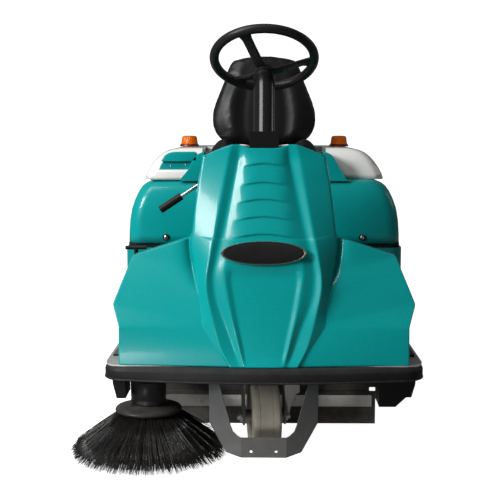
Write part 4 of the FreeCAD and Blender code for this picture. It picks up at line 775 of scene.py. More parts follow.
    @staticmethod
    def crease(start: tuple[int, int], end: tuple[int, int], up: int) -> float:
        """How sharp an edge of the cage is.

        Args:
            start: the row and line of its one corner.
            end: the row and line of its other corner.
            up: how many rows the cage has.

        Returns:
            The crease, from 0 to 1.
        """
        (row, line), (_, other) = start, end
        if line == other:
            upright = {2: 0.55, 3: 0.45, 4: 0.4, 5: 0.7, 7: 0.8, 8: 0.85, 12: 0.55, 13: 0.6}
            return 0.1 if line in (2, 3) and row > 9 else upright.get(line, 0.0)
        if min(line, other) >= 7 and row in (3, 4, 6):
            return 0.85
        if min(line, other) >= 8 and row == 11:
            return 0.55
        if row == up - 3:
            return 0.5
        return 0.42 if row in range(12, 22) and max(line, other) <= 3 else 0.0

    def build(self) -> None:
        """Shapes a grid into the cage's right half, mirrors it and gives it its wall."""
        rows = self.cage()
        up = len(rows)
        bm = bmesh.new()
        bmesh.ops.create_grid(bm, x_segments=self.across - 1, y_segments=up - 1, size=1.0)
        ranked = sorted(bm.verts, key=lambda v: (round(v.co.y, 5), round(v.co.x, 5)))
        lines = {v: divmod(k, self.across) for k, v in enumerate(ranked)}
        gone = []
        for vert, (row, line) in lines.items():
            place = rows[row][line]
            if place is None:
                gone.append(vert)
            else:
                vert.co = Vector(place) * MM
        crease = bm.edges.layers.float.new("crease_edge")
        for e in bm.edges:
            e[crease] = self.crease(lines[e.verts[0]], lines[e.verts[1]], up)
        bmesh.ops.delete(bm, geom=gone, context="VERTS")
        bmesh.ops.mirror(bm, geom=everything(bm), axis="X", merge_dist=1e-5)
        to_middle(bm)
        cowl = publish(bm, "cowl_skin", TEAL_GLOSS, "chassis", ("front_cowl",), sharp=0)
        add_subsurf(cowl, 3)
        add_wall(cowl, self.wall * MM)
        self.badge()

    def badge(self) -> None:
        """A plain domed oval plaque with a thin metal rim, laid on the slope of the column."""
        low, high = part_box("badge")
        centre = (low + high) / 2 + Vector((0.0, -0.002, 0.0))
        half = (high.x - low.x) / 2
        slope = math.atan2(*self.slope)
        turn = Matrix.Translation(centre) @ Matrix.Rotation(math.pi / 2 - slope, 4, "X")
        shape = Matrix.Diagonal((1.0, self.badge_shape, 1.0, 1.0))
        bm = bmesh.new()
        profile = [(0.0, 0.0045), (half * 0.5, 0.0042), (half * 0.85, 0.003), (half * 0.95, 0.0016),
                   (half * 0.95, -0.006)]
        turned(bm, profile, Vector(), UP, steps=72)
        bmesh.ops.transform(bm, matrix=turn @ shape, verts=bm.verts)
        publish(bm, "badge_plaque", BADGE, "chassis", ("badge",))
        bm = bmesh.new()
        profile = [(half * 0.93, 0.0014), (half * 0.955, 0.0042), (half * 0.985, 0.0042), (half, 0.001),
                   (half, -0.006), (half * 0.93, -0.006)]
        turned(bm, profile, Vector(), UP, steps=72, closed=True)
        bmesh.ops.transform(bm, matrix=turn @ shape, verts=bm.verts)
        publish(bm, "badge_rim", BADGE_RIM, "chassis", ())


# ---- bumper --------------------------------------------------------------------------------------------
@dataclass
class Bumper:
    """The moulded bumper: one rounded section taken round a bowed front and two corners."""

    half_w: float = 484.0
    depth: float = 45.0
    low: float = 270.0
    high: float = 314.0
    #: Height of the path that the section follows.
    level: float = 292.0
    end_y: float = -560.0
    corner_y: float = -618.0
    corner: tuple = (74.0, 84.0)
    #: Half width of the bowed front, and how far its middle stands forward of its ends.
    bow_half: float = 410.0
    bow_rise: float = 38.0

    def path(self, front: float) -> list[tuple[float, float]]:
        """Plan points of the outer face, so that its outside is on the sweep's right."""
        bow = (self.bow_half ** 2 + self.bow_rise ** 2) / (2 * self.bow_rise)
        right = [(self.half_w, self.end_y), (self.half_w, -590.0), (self.half_w, self.corner_y)]
        for k in range(1, 8):
            a = math.radians(90.0 * k / 8)
            right.append((self.half_w - self.corner[0] * (1 - math.cos(a)),
                          self.corner_y - self.corner[1] * math.sin(a)))
        bowed = [(x, front + bow - math.sqrt(bow ** 2 - x ** 2)) for x in range(400, -401, -50)]
        return [*right, *bowed, *((-x, y) for x, y in right[::-1])][::-1]

    def build(self) -> None:
        """Sweeps the section round the path."""
        low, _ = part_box("front_bumper")
        d, z0, z1 = self.depth * MM, (self.low - self.level) * MM, (self.high - self.level) * MM
        section = [(-0.0022, z0 + 0.0055), (-0.0022, z1 - 0.0155), (-0.0030, z1 - 0.0135),
                   (-0.0105, z1 - 0.0018), (-0.0125, z1 - 0.0004), (-0.015, z1), (-d, z1), (-d, z1 - 0.004),
                   (-0.017, z1 - 0.012), (-0.012, z0 + 0.009), (-0.022, z0), (-0.0035, z0),
                   (-0.0008, z0 + 0.0008), (0.0, z0 + 0.0025), (-0.0006, z0 + 0.0042)]
        bm = bmesh.new()
        points = [at(x, y, self.level) for x, y in self.path(low.y / MM)]
        drive(bm, section, [station(point, heading(points, k)) for k, point in enumerate(points)])
        publish(bm, "bumper_moulding", BUMPER, "chassis", ("front_bumper",), sharp=50)


# ---- bristles ------------------------------------------------------------------------------------------
@dataclass
class SideBrush:
    """The kerb brush: a dished disc and its flared skirt of bristles."""

    #: Tufts, root radius and reach of the outer, middle and inner rows, in metres.
    rows: tuple = ((64, 0.093, 0.236), (52, 0.084, 0.196), (40, 0.072, 0.155))
    hang: float = 0.137
    strands: int = 34
    kinds: int = 6

    def tuft(self, rng: random.Random, row: int) -> bpy.types.Mesh:
        """One tuft's strands, standing at the disc's +X edge with the disc's centre at the origin.

        Args:
            rng: the seeded source of unevenness.
            row: 0 for the outer row, 1 for the middle row and 2 for the inner one.

        Returns:
            A mesh of tapered three-sided strands.
        """
        bm = bmesh.new()
        _, root_r, reach = self.rows[row]
        for _ in range(self.strands):
            spread = math.radians(rng.gauss(0.0, 3.0))
            out = reach + rng.uniform(-0.014, 0.009)
            short = 0.03 * rng.random() ** 2.0 if row == 0 else 0.006 * rng.random()
            drop = self.hang - (0.004 + short)
            if row == 0 and rng.random() < 0.05:
                out, drop = out + rng.uniform(0.004, 0.014), drop - rng.uniform(0.0, 0.04)
            root = Vector((root_r + rng.uniform(-0.003, 0.003), math.tan(spread * 0.3) * root_r, 0.0))
            tip = Vector((out * math.cos(spread), out * math.sin(spread) + rng.gauss(0.0, 0.004), -drop))
            sag = Vector((-0.005, 0.0, -0.004)) * rng.uniform(-0.3, 1.0)
            thick = rng.uniform(0.0008, 0.0014)
            stops = []
            for t, width in ((0.0, 1.0), (0.35, 1.0), (0.7, 0.85), (1.0, 0.45)):
                point = root.lerp(tip, t) + sag * (4 * t * (1 - t))
                stops.append(station(point, tip - root, UP, (width, width)))
            drive(bm, disc(thick, 3), stops)
        return into_mesh(bm, "tuft")

    def build(self) -> None:
        """Sets tufts round the disc in three rows and turns the disc itself."""
        rng = random.Random(7)
        low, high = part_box("side_brush_disc")
        centre = Vector(((low.x + high.x) / 2, (low.y + high.y) / 2, low.z))
        for row, (count, _, _) in enumerate(self.rows):
            bm = bmesh.new()
            kinds = [self.tuft(rng, row) for _ in range(self.kinds)]
            for k in range(count):
                kind = kinds[rng.randrange(self.kinds)]
                angle = math.tau * (k + rng.uniform(-0.25, 0.25)) / count
                add_copy(bm, kind, Matrix.Translation(centre) @ Matrix.Rotation(angle, 4, "Z"))
            for kind in kinds:
                bpy.data.meshes.remove(kind)
            publish(bm, f"kerb_bristles_{row + 1}", BRISTLE, "side_brush",
                    ("side_brush_bristles",) if row == 0 else (), sharp=0, outward=False)
        self.plate(centre, (high.x - low.x) / 2)

    def plate(self, centre: Vector, radius: float) -> None:
        """The disc with its rolled rim and stepped boss."""
        bm = bmesh.new()
        h = 0.026
        profile = [(0.0, h), (0.05, h), (0.054, h - 0.001), (0.058, h - 0.004), (radius - 0.028, h - 0.0072),
                   (radius - 0.012, h - 0.0098), (radius - 0.004, 0.0135), (radius - 0.001, 0.0095),
                   (radius, 0.0065), (radius - 0.0015, 0.003), (radius - 0.005, 0.0), (0.03, 0.0), (0.0, 0.0)]
        turned(bm, profile, centre, UP, steps=72)
        publish(bm, "kerb_brush_plate", BRUSH_PLASTIC, "side_brush", ("side_brush_disc",),
                sharp=60)
        bm = bmesh.new()
        low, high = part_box("side_brush_motor")
        r = (high.x - low.x) / 2
        z0, z1 = 0.0285, high.z - centre.z
        profile = [(0.0, z1), (r - 0.004, z1), (r, z1 - 0.004), (r, z0 + 0.018), (r - 0.0015, z0 + 0.014),
                   (r - 0.0015, z0 + 0.012), (r + 0.0005, z0 + 0.008), (r + 0.001, z0), (0.0, z0)]
        turned(bm, profile, centre, UP, steps=64)
        publish(bm, "kerb_brush_motor", BRUSH_PLASTIC, "side_arm", ("side_brush_motor",),
                sharp=50)


@dataclass
class MainBrush:
    """The roller's bristles, set in spiral rows of tufts round the core."""

    rows: int = 8
    along: int = 46
    strands: int = 7
    kinds: int = 5
    core: float = 0.0455

    def tuft(self, rng: random.Random, radius: float) -> bpy.types.Mesh:
        """One tuft, standing up from the core with the roller's axis at the origin."""
        bm = bmesh.new()
        for _ in range(self.strands):
            root = Vector((rng.uniform(-0.003, 0.003), rng.uniform(-0.003, 0.003), self.core))
            tip = Vector((rng.gauss(0.0, 0.006), rng.gauss(0.0, 0.006), radius - rng.uniform(0.0, 0.004)))
            stops = []
            for point, width in ((root, 1.0), (root.lerp(tip, 0.6), 1.0), (tip, 0.5)):
                stops.append(station(point, tip - root, ACROSS, (width, width)))
            drive(bm, disc(0.0014, 3), stops)
        return into_mesh(bm, "roller_tuft")

    def build(self) -> None:
        """Places the tufts on their spirals."""
        rng = random.Random(11)
        low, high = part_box("main_brush_bristles")
        centre, radius = (low + high) / 2, (high.z - low.z) / 2
        length = high.x - low.x
        kinds = [self.tuft(rng, radius) for _ in range(self.kinds)]
        bm = bmesh.new()
        for row in range(self.rows):
            for k in range(self.along):
                share = (k + 0.5) / self.along
                turn = math.tau * row / self.rows + 1.2 * abs(share - 0.5) * 2
                place = Vector((low.x + 0.004 + (length - 0.008) * share, centre.y, centre.z))
                add_copy(bm, rng.choice(kinds), Matrix.Translation(place) @ Matrix.Rotation(turn, 4, "X"))
        for kind in kinds:
            bpy.data.meshes.remove(kind)
        publish(bm, "roller_bristles", BRISTLE, "main_brush", ("main_brush_bristles",), sharp=0,
                outward=False)


# ---- hood ------------------------------------------------------------------------------------------------
@dataclass
class Hood:
    """The tilting hood: painted flanks, cheeks beside the seat, a pale cover and a lidded box."""

    #: Height, half width, front and rear of each ring of the painted flanks, in millimetres.
    flank: tuple = ((622, 474, -133, 742), (650, 473.5, -132.8, 741.6), (700, 470, -131.5, 739.5),
                    (740, 463, -129, 737), (772, 452, -125, 732), (800, 439, -118, 727),
                    (818, 427, -109, 720), (830, 412, -98, 712), (837, 396, -86, 702), (840, 376, -72, 690))
    #: The same for the pale cover.
    crown: tuple = ((841, 424, -47, 721), (860, 418, -46, 716), (882, 406, -44, 710), (902, 392, -42, 702),
                    (920, 376, -38, 692), (934, 358, -32, 678), (943, 338, -25, 660), (949, 312, -16, 636),
                    (950.5, 280, -4, 604))
    #: Half width and rear end of the seat's notch in the cover, in millimetres.
    notch_x: float = 218.0
    notch_y: float = 239.0
    #: Radius of a beacon's foot, in metres.
    beacon_r: float = 0.037

    @staticmethod
    def rings(levels: tuple, radius: float) -> bmesh.types.BMesh:
        """A shell of rounded rectangles, one per level, closed at the top.

        Args:
            levels: height, half width, front and rear of each ring.
            radius: the corner radius of the lowest ring.

        Returns:
            The open-bottomed shell.
        """
        z, half, front, rear = levels[0]
        bm = bmesh.new()
        corners = [bm.verts.new((x, y, 0.0)) for x, y in rounded(half, (rear - front) / 2, radius, 6)]
        edges = [bm.edges.new(pair) for pair in zip(corners, corners[1:] + corners[:1])]
        for e in edges:
            if e.calc_length() > 100:
                bmesh.ops.subdivide_edges(bm, edges=[e], cuts=9)
        ring = bm.edges[:]
        bmesh.ops.translate(bm, vec=(0.0, (front + rear) / 2, z), verts=bm.verts)
        size = (half, (rear - front) / 2, (front + rear) / 2, z)
        for z, half, front, rear in levels[1:]:
            grown = bmesh.ops.extrude_edge_only(bm, edges=ring)
            loop = new_parts(grown, bmesh.types.BMVert)
            moved = set(loop)
            ring = [e for e in new_parts(grown, bmesh.types.BMEdge) if all(v in moved for v in e.verts)]
            fit = (half / size[0], (rear - front) / 2 / size[1], 1.0)
            space = Matrix.Translation((0.0, -size[2], -size[3]))
            bmesh.ops.scale(bm, vec=fit, verts=loop, space=space)
            bmesh.ops.translate(bm, vec=(0.0, (front + rear) / 2 - size[2], z - size[3]), verts=loop)
            size = (half, (rear - front) / 2, (front + rear) / 2, z)
        bmesh.ops.contextual_create(bm, geom=ring)
        bmesh.ops.scale(bm, vec=(MM, MM, MM), verts=bm.verts)
        to_middle(bm)
        return bm

    def build(self) -> None:
        """Builds the painted shell, the cover, the cheeks, the box and the beacons."""
        shell = publish(self.rings(self.flank, 52.0), "hood_flanks", TEAL_GLOSS, "hood", ("hood_shell",),
                        sharp=60)
        add_wall(shell, 0.004)
        self.cover()
        self.cheeks()
        self.slab()
        self.box()
        self.beacons()
        self.bolts()

    def cover(self) -> None:
        """The pale crowned cover with its notch for the seat."""
        bm = self.rings(self.crown, 40.0)
        for x, y, facing in ((-self.notch_x, 0, (1.0, 0.0, 0.0)), (self.notch_x, 0, (-1.0, 0.0, 0.0)),
                             (0, self.notch_y, (0.0, 1.0, 0.0))):
            bmesh.ops.bisect_plane(bm, geom=everything(bm), plane_co=at(x, y, 0), plane_no=facing, dist=1e-6)
        inside = [f for f in bm.faces if abs(f.calc_center_median().x - AXIS_X) < self.notch_x * MM
                  and f.calc_center_median().y < self.notch_y * MM]
        bmesh.ops.delete(bm, geom=inside, context="FACES")
        rim = [e for e in bm.edges if e.is_boundary and max(v.co.z for v in e.verts) > 0.8415]
        grown = bmesh.ops.extrude_edge_only(bm, edges=rim)
        for v in new_parts(grown, bmesh.types.BMVert):
            v.co.z = 0.841
        cover = publish(bm, "hood_crown", COVER_WHITE, "hood", ("hood_cover",), sharp=50)
        add_wall(cover, 0.0035)

    def cheeks(self) -> None:
        """The two flared cheeks beside the seat."""
        profile = [(207, 836), (292, 836), (291, 842), (285, 848), (277, 856), (270, 865), (264, 875),
                   (258, 888), (253, 899), (247, 909), (240, 919), (231, 928), (221, 933.5), (212, 935.5),
                   (207, 935.5)]
        bm = bmesh.new()
        corners = [bm.verts.new(Vector((x * MM, -0.110, z * MM))) for x, z in profile]
        face = bmesh.ops.contextual_create(bm, geom=corners)["faces"]
        grown = bmesh.ops.extrude_face_region(bm, geom=face)
        bmesh.ops.translate(bm, vec=(0.0, 0.344, 0.0), verts=new_parts(grown, bmesh.types.BMVert))
        bmesh.ops.recalc_face_normals(bm, faces=bm.faces)
        rims = [e for e in bm.edges if abs(e.verts[0].co.y - e.verts[1].co.y) < 1e-6]
        round_edges(bm, rims, 0.007, 4)
        bmesh.ops.mirror(bm, geom=everything(bm), axis="X", merge_dist=0.0)
        to_middle(bm)
        publish(bm, "seat_cheeks", TEAL_GLOSS, "hood", (), sharp=35)

    def slab(self) -> None:
        """The pale step of the cover in front of and under the box."""
        bm = bmesh.new()
        bump_block(bm, at(-404, -104, 838.5), at(-238, -40, 877), 0.012, 4)
        outer = [v for v in bm.verts if v.co.x < at(-380, 0, 0).x and v.co.z > 0.86]
        bmesh.ops.translate(bm, vec=(0.022, 0.0, -0.001), verts=outer)
        publish(bm, "cover_step", COVER_WHITE, "hood", (), sharp=50)

    def box(self) -> None:
        """The lidded box: a recessed body under an overhanging lid, and two screws."""
        bm = bmesh.new()
        self.slice(bm, [(-366, 875), (-238, 875), (-238, 904.5), (-350, 904.5), (-360, 892)], -97.0, -52.0,
                   0.003)
        self.slice(bm, [(-357, 903.5), (-233, 903.5), (-231, 909), (-234, 930), (-239, 936), (-247, 937),
                        (-312, 937), (-326, 935), (-338, 930), (-348, 921), (-355, 910)], -110.0, -51.0,
                   0.004)
        publish(bm, "console_shell", TEAL_GLOSS, "hood", ("console_box",), sharp=50)
        bm = bmesh.new()
        for x, z in ((-325, 889), (-272, 893)):
            turned(bm, [(0.0, 0.0028), (0.0022, 0.0025), (0.0036, 0.001), (0.0038, 0.0), (0.0, 0.0)],
                   at(x, -97, z), FORWARD, steps=20)
        publish(bm, "console_screws", STEEL, "hood", (), sharp=50)

    @staticmethod
    def slice(bm: bmesh.types.BMesh, profile: list, front: float, rear: float, radius: float) -> None:
        """Adds a block of a given front outline with rounded front and rear edges.

        Args:
            bm: the mesh to add to.
            profile: x and z of the outline's corners, in millimetres.
            front: the front face's y.
            rear: the rear face's y.
            radius: the edge radius, in metres.
        """
        corners = [bm.verts.new(at(x, front, z)) for x, z in profile]
        face = bmesh.ops.contextual_create(bm, geom=corners)["faces"]
        grown = bmesh.ops.extrude_face_region(bm, geom=face)
        moved = new_parts(grown, bmesh.types.BMVert)
        bmesh.ops.translate(bm, vec=(0.0, (rear - front) * MM, 0.0), verts=moved)
        around = {e for v in corners + moved for e in v.link_edges}
        round_edges(bm, [e for e in around if abs(e.verts[0].co.y - e.verts[1].co.y) < 1e-6], radius)

    def beacons(self) -> None:
        """Amber lenses with fluted sides on their dark bases, each with a lamp tube inside."""
        bases, lenses, cores = bmesh.new(), bmesh.new(), bmesh.new()
        low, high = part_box("beacon_bases")
        r = self.beacon_r
        x, y, z = (high.x - low.x) / 2 - r, (low.y + high.y) / 2, low.z
        for side in (-1, 1):
            foot = Vector((AXIS_X + side * x, y, z))
            turned(bases, [(0.0, 0.0), (r, 0.0), (r, 0.003), (r - 0.001, 0.0045), (r - 0.001, 0.0075),
                           (r - 0.003, 0.009), (0.0, 0.009)], foot, UP, steps=48)
            lens = bmesh.new()
            turned(lens, [(0.0, 0.0415), (0.014, 0.0413), (0.024, 0.0400), (0.0275, 0.0370),
                          (0.0292, 0.0320), (0.0308, 0.0200), (0.0316, 0.0120), (0.0330, 0.0110),
                          (0.0330, 0.0092), (0.0, 0.0092)], Vector(), UP, steps=96)
            flutes = [v for v in lens.verts if 0.013 < v.co.z < 0.038 and step_round(v, 96) % 4 == 0]
            bmesh.ops.scale(lens, vec=(0.965, 0.965, 1.0), verts=flutes)
            bmesh.ops.translate(lens, vec=foot, verts=lens.verts)
            mesh = into_mesh(lens, "lens")
            lenses.from_mesh(mesh)
            bpy.data.meshes.remove(mesh)
            turned(cores, [(0.0, 0.036), (0.0045, 0.036), (0.0045, 0.0095), (0.0, 0.0095)], foot, UP,
                   steps=16)
        publish(bases, "beacon_feet", BEACON_BASE, "hood", ("beacon_bases",), sharp=50)
        publish(lenses, "beacon_glass", AMBER, "hood", ("beacon_lenses",), sharp=50)
        publish(cores, "beacon_tubes", BEACON_BASE, "hood", (), sharp=50)

    def bolts(self) -> None:
        """The round-headed stop bolts in their black cups."""
        low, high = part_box("hood_stop_bolts")
        cups, heads = bmesh.new(), bmesh.new()
        for side in (-1, 1):
            foot = Vector((AXIS_X + side * 0.340, high.y, (low.z + high.z) / 2))
            turned(cups, [(0.0085, 0.0), (0.0115, 0.0), (0.012, 0.003), (0.0105, 0.0052), (0.0085, 0.004)],
                   foot, FORWARD, steps=32, closed=True)
            turned(heads, [(0.0, 0.0085), (0.003, 0.0083), (0.006, 0.007), (0.008, 0.0045), (0.0082, 0.0),
                           (0.0, 0.0)], foot, FORWARD, steps=32)
        publish(cups, "stop_bolt_cups", RUBBER, "hood", (), sharp=50)
        publish(heads, "stop_bolt_heads", STEEL, "hood", ("hood_stop_bolts",), sharp=60)


# ---- seat ------------------------------------------------------------------------------------------------
@dataclass
class Seat:
    """The seat: two moulded vinyl pads that are shaped, blown up as cloth and then seamed."""

    #: Half the backrest's depth, in millimetres.
    half_depth: float = 25.0
    stretch: float = 1.055
    voxel: float = 0.0055
    cap: float = 0.005
    pressure: float = 3.5
    frames: int = 14

    @staticmethod
    def block(cuts: int = 18) -> bmesh.types.BMesh:
        """A finely divided cube from -1 to 1."""
        bm = bmesh.new()
        bmesh.ops.create_cube(bm, size=2.0)
        bmesh.ops.subdivide_edges(bm, edges=bm.edges[:], cuts=cuts, use_grid_fill=True)
        return bm

    @staticmethod
    def squircle(u: float, w: float, k: float) -> tuple[float, float]:
        """Rounds the corners of a square towards a circle by k."""
        return u * math.sqrt(1.0 - k * w * w / 2.0), w * math.sqrt(1.0 - k * u * u / 2.0)

    def backrest(self) -> bpy.types.Object:
        """The backrest: narrow head, wide waist, side bolsters round a flat middle panel."""
        outline = [(0, 172), (20, 184), (48, 195), (84, 199), (120, 195), (155, 185), (195, 169), (232, 156),
                   (270, 148), (318, 138)]
        bm = self.block()
        for v in bm.verts:
            u, w, t = v.co
            a, b = self.squircle(u, w, 0.62)
            height = 159.0 + 159.0 * self.squircle(u * 0.8, t, 0.55)[1]
            half = table(outline, height)
            pinch = math.sqrt(max(0.0, 1.0 - 0.5 * (abs(t) ** 6)))
            x = half * self.squircle(a, t, 0.28)[0] * pinch ** 0.3
            lower = 1.0 - smooth(170, 250, height)
            ridge = math.exp(-((abs(u) - 0.77) / 0.17) ** 2) * 13.0 * (0.25 + 0.75 * lower)
            valley = -math.exp(-((abs(u) - 0.5) / 0.07) ** 2) * 3.0 * lower
            crown = 6.0 * (1.0 - u * u) * (1.0 - smooth(240, 318, height))
            y = b * self.half_depth * (1.0 - 0.22 * smooth(200, 318, height))
            if w < 0:
                y -= (ridge + valley + crown) * min(1.0, -w * 1.1) * (1.0 - abs(t) ** 8)
            v.co = Vector((x, y + 36.0, height * self.stretch)) * MM
        obj = publish(bm, "backrest_pad", VINYL, "seat", ("seat_backrest",), sharp=0)
        low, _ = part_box("seat_backrest")
        lean = Matrix.Translation((AXIS_X, 0.118, low.z - 0.007)) @ Matrix.Rotation(math.radians(-8.0), 4,
                                                                                    "X")
        obj.data.transform(lean)
        return obj

    def cushion(self) -> bpy.types.Object:
        """The cushion: raised side bolsters, a rolled front and a dished middle."""
        low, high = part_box("seat_cushion")
        half = Vector((high.x - low.x, high.y - low.y, high.z - low.z)) / 2
        centre = (low + high) / 2
        bm = self.block()
        for v in bm.verts:
            u, w, t = v.co
            a, b = self.squircle(u, w, 0.3)
            x = half.x * 0.985 * self.squircle(a, t, 0.3)[0]
            y = half.y * 0.985 * self.squircle(b, t, 0.34)[0]
            z = t * half.z * 0.97
            if t > -0.98:
                share = (t + 1.0) / 2.0
                bolster = math.exp(-((abs(u) - 0.82) / 0.15) ** 2) * 0.034
                seam = -math.exp(-((abs(u) - 0.60) / 0.05) ** 2) * 0.003
                front = -0.016 * smooth(0.55, 1.0, -w) + 0.004 * math.cos(w * 1.4)
                z = (-half.z + (half.z * 2 - 0.024) * share) * 0.99 + (bolster + seam + front) * share
            v.co = centre + Vector((x, y, z))
        return publish(bm, "cushion_pad", VINYL, "seat", ("seat_cushion",), sharp=0)

    def inflate(self, pad: bpy.types.Object) -> None:
        """Remeshes a pad, blows it up as cloth, caps how far it moved and keeps the result.

        Args:
            pad: the piece to swell in place.
        """
        remesh = pad.modifiers.new("Remesh", "REMESH")
        remesh.mode = "VOXEL"
        remesh.voxel_size = self.voxel
        scene = bpy.context.scene
        self.apply(pad)
        before = [v.co.copy() for v in pad.data.vertices]
        cloth = pad.modifiers.new("Cloth", "CLOTH")
        cloth.settings.use_pressure = True
        cloth.settings.uniform_pressure_force = self.pressure
        cloth.settings.effector_weights.gravity = 0.0
        cloth.settings.tension_stiffness = 25.0
        cloth.settings.compression_stiffness = 25.0
        cloth.settings.bending_stiffness = 4.0
        cloth.settings.quality = 5
        cloth.point_cache.frame_start, cloth.point_cache.frame_end = 1, self.frames
        for frame_number in range(1, self.frames + 1):
            scene.frame_set(frame_number)
        graph = bpy.context.evaluated_depsgraph_get()
        swollen = [v.co.copy() for v in pad.evaluated_get(graph).data.vertices]
        pad.modifiers.clear()
        scene.frame_set(1)
        for vert, start, end in zip(pad.data.vertices, before, swollen):
            move = end - start
            if move.length > self.cap:
                move *= self.cap / move.length
            vert.co = start + move
        bm = bmesh.new()
        bm.from_mesh(pad.data)
        for _ in range(3):
            bmesh.ops.smooth_vert(bm, verts=bm.verts, factor=0.5, use_axis_x=True, use_axis_y=True,
                                  use_axis_z=True)
        bm.to_mesh(pad.data)
        bm.free()

    @staticmethod
    def apply(pad: bpy.types.Object) -> None:
        """Makes a piece's modifiers part of its mesh."""
        graph = bpy.context.evaluated_depsgraph_get()
        mesh = bpy.data.meshes.new_from_object(pad.evaluated_get(graph))
        pad.modifiers.clear()
        old, pad.data = pad.data, mesh
        bpy.data.meshes.remove(old)
        shade_smooth(mesh)

    def build(self) -> None:
        """Makes both pads."""
        for pad in (self.backrest(), self.cushion()):
            self.inflate(pad)
            add_subsurf(pad, 1)


# ---- steering wheel ----------------------------------------------------------------------------------------
@dataclass
class SteeringWheel:
    """A moulded rim on three flat spokes with a knurled hub."""

    rim_r: float = 160.0
    tube_r: float = 15.0
    tilt: float = 31.0
    turn: float = 35.0
    #: Distance out, height, half width and half thickness along a spoke.
    spoke: tuple = ((16, -43, 17, 5.5), (36, -42, 17, 5.5), (60, -33, 16, 5), (95, -18, 15.5, 5),
                    (125, -6, 16, 5), (144, -1.5, 21, 5.5), (157, 0, 28, 6))

    def place(self) -> Matrix:
        """From the wheel's own frame to the model."""
        lean = Matrix.Rotation(math.radians(-self.tilt), 4, "X")
        spin = Matrix.Rotation(math.radians(self.turn), 4, "Z")
        return Matrix.Translation((AXIS_X, -0.345, 1.238)) @ (lean @ spin)

    def build(self) -> None:
        """Spins the rim and hub and sweeps the spokes."""
        bm = bmesh.new()
        ring = [((self.rim_r + self.tube_r * math.cos(a)) * MM, self.tube_r * 0.97 * math.sin(a) * MM)
                for a in (math.tau * k / 20 for k in range(20))]
        turned(bm, ring, Vector(), UP, steps=120, closed=True)
        bmesh.ops.transform(bm, matrix=self.place(), verts=bm.verts)
        publish(bm, "wheel_rim", WHEEL_GRIP, "steering", ("steering_wheel",), sharp=0)
        bm = bmesh.new()
        for k in range(3):
            aim = math.radians(90.0 + 120.0 * k)
            out = Vector((math.cos(aim), math.sin(aim), 0.0))
            points = [out * (r * MM) + UP * (z * MM) for r, z, _, _ in self.spoke]
            stops = []
            for j, (_, _, wide, thick) in enumerate(self.spoke):
                stops.append(station(points[j], heading(points, j), UP, (wide * MM, thick * MM)))
            drive(bm, rounded(1.0, 1.0, 0.55, 3), stops)
        bmesh.ops.transform(bm, matrix=self.place(), verts=bm.verts)
        publish(bm, "wheel_spokes", WHEEL_GRIP, "steering", (), sharp=45)
        bm = bmesh.new()
        turned(bm, [(0.0, -0.070), (0.0245, -0.070), (0.0255, -0.068), (0.0255, -0.058), (0.0235, -0.0565),
                    (0.0235, -0.054), (0.027, -0.052), (0.027, -0.036), (0.0255, -0.033), (0.022, -0.030),
                    (0.0, -0.0290)], Vector(), UP, steps=72)
        knurl = [v for v in bm.verts if -0.0695 < v.co.z < -0.057 and v.co.xy.length > 0.02
                 and step_round(v, 72) % 2 == 0]
        bmesh.ops.scale(bm, vec=(0.955, 0.955, 1.0), verts=knurl)
        bmesh.ops.transform(bm, matrix=self.place(), verts=bm.verts)
        publish(bm, "wheel_hub", BLACK_PLASTIC, "steering", ("steering_wheel_cap",),
                sharp=35)


# ---- wheels ------------------------------------------------------------------------------------------------
@dataclass(frozen=True)
class Tyre:
    """What sets one kind of tyre apart, in metres; the steer angle is in degrees."""

    finish: Finish
    inner: float
    half: float
    edge: float
    deep: float
    #: Where the grooves run, as shares of the half width.
    grooves: tuple
    steer: float = 0.0


@dataclass
class Wheels:
    """Solid tyres with worn grooves."""

    drive: Tyre = Tyre(TYRE, inner=0.060, half=0.045, edge=0.012, deep=0.0012, grooves=(-0.45, 0.45),
                       steer=7.0)
    rear: Tyre = Tyre(RUBBER, inner=0.070, half=0.030, edge=0.009, deep=0.003,
                      grooves=(-0.5, -0.17, 0.17, 0.5))

    @staticmethod
    def tyre(node: str, name: str, body: str, kind: Tyre) -> None:
        """Spins a tyre's section about its axle.

        Args:
            node: the CAD tyre.
            name: the piece's name.
            body: the body that it turns with.
            kind: its section and rubber.
        """
        low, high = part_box(node)
        steer = math.radians(kind.steer)
        axle = Vector((math.cos(steer), math.sin(steer), 0.0))
        outer, half, inner, edge = (high.z - low.z) / 2, kind.half, kind.inner, kind.edge
        turns = [math.radians(90.0 * k / 5) for k in range(1, 5)]
        section = [(inner, -half + 0.004), (inner + 0.006, -half), (outer - edge, -half)]
        section += [(outer - edge + edge * math.sin(a), -half + edge - edge * math.cos(a)) for a in turns]
        section.append((outer, -half + edge))
        for share in kind.grooves:
            x, floor = share * half, outer - kind.deep
            section += [(outer, x - 0.0022), (floor, x - 0.0012), (floor, x + 0.0012), (outer, x + 0.0022)]
        section.append((outer, half - edge))
        section += [(outer - edge + edge * math.cos(a), half - edge + edge * math.sin(a)) for a in turns]
        section += [(outer - edge, half), (inner + 0.006, half), (inner, half - 0.004)]
        bm = bmesh.new()
        turned(bm, section, (low + high) / 2, axle, steps=96, closed=True)
        publish(bm, name, kind.finish, body, (node,), sharp=50)

    def build(self) -> None:
        """Makes the drive tyre and both rear tyres."""
        self.tyre("front_tyre", "drive_tyre", "drive_wheel", self.drive)
        for side in ("right", "left"):
            self.tyre(f"rear_tyre_{side}", f"rear_tread_{side}", f"rear_wheel_{side}", self.rear)


PARTS = (Cowl, Bumper, SideBrush, MainBrush, Hood, Seat, SteeringWheel, Wheels)


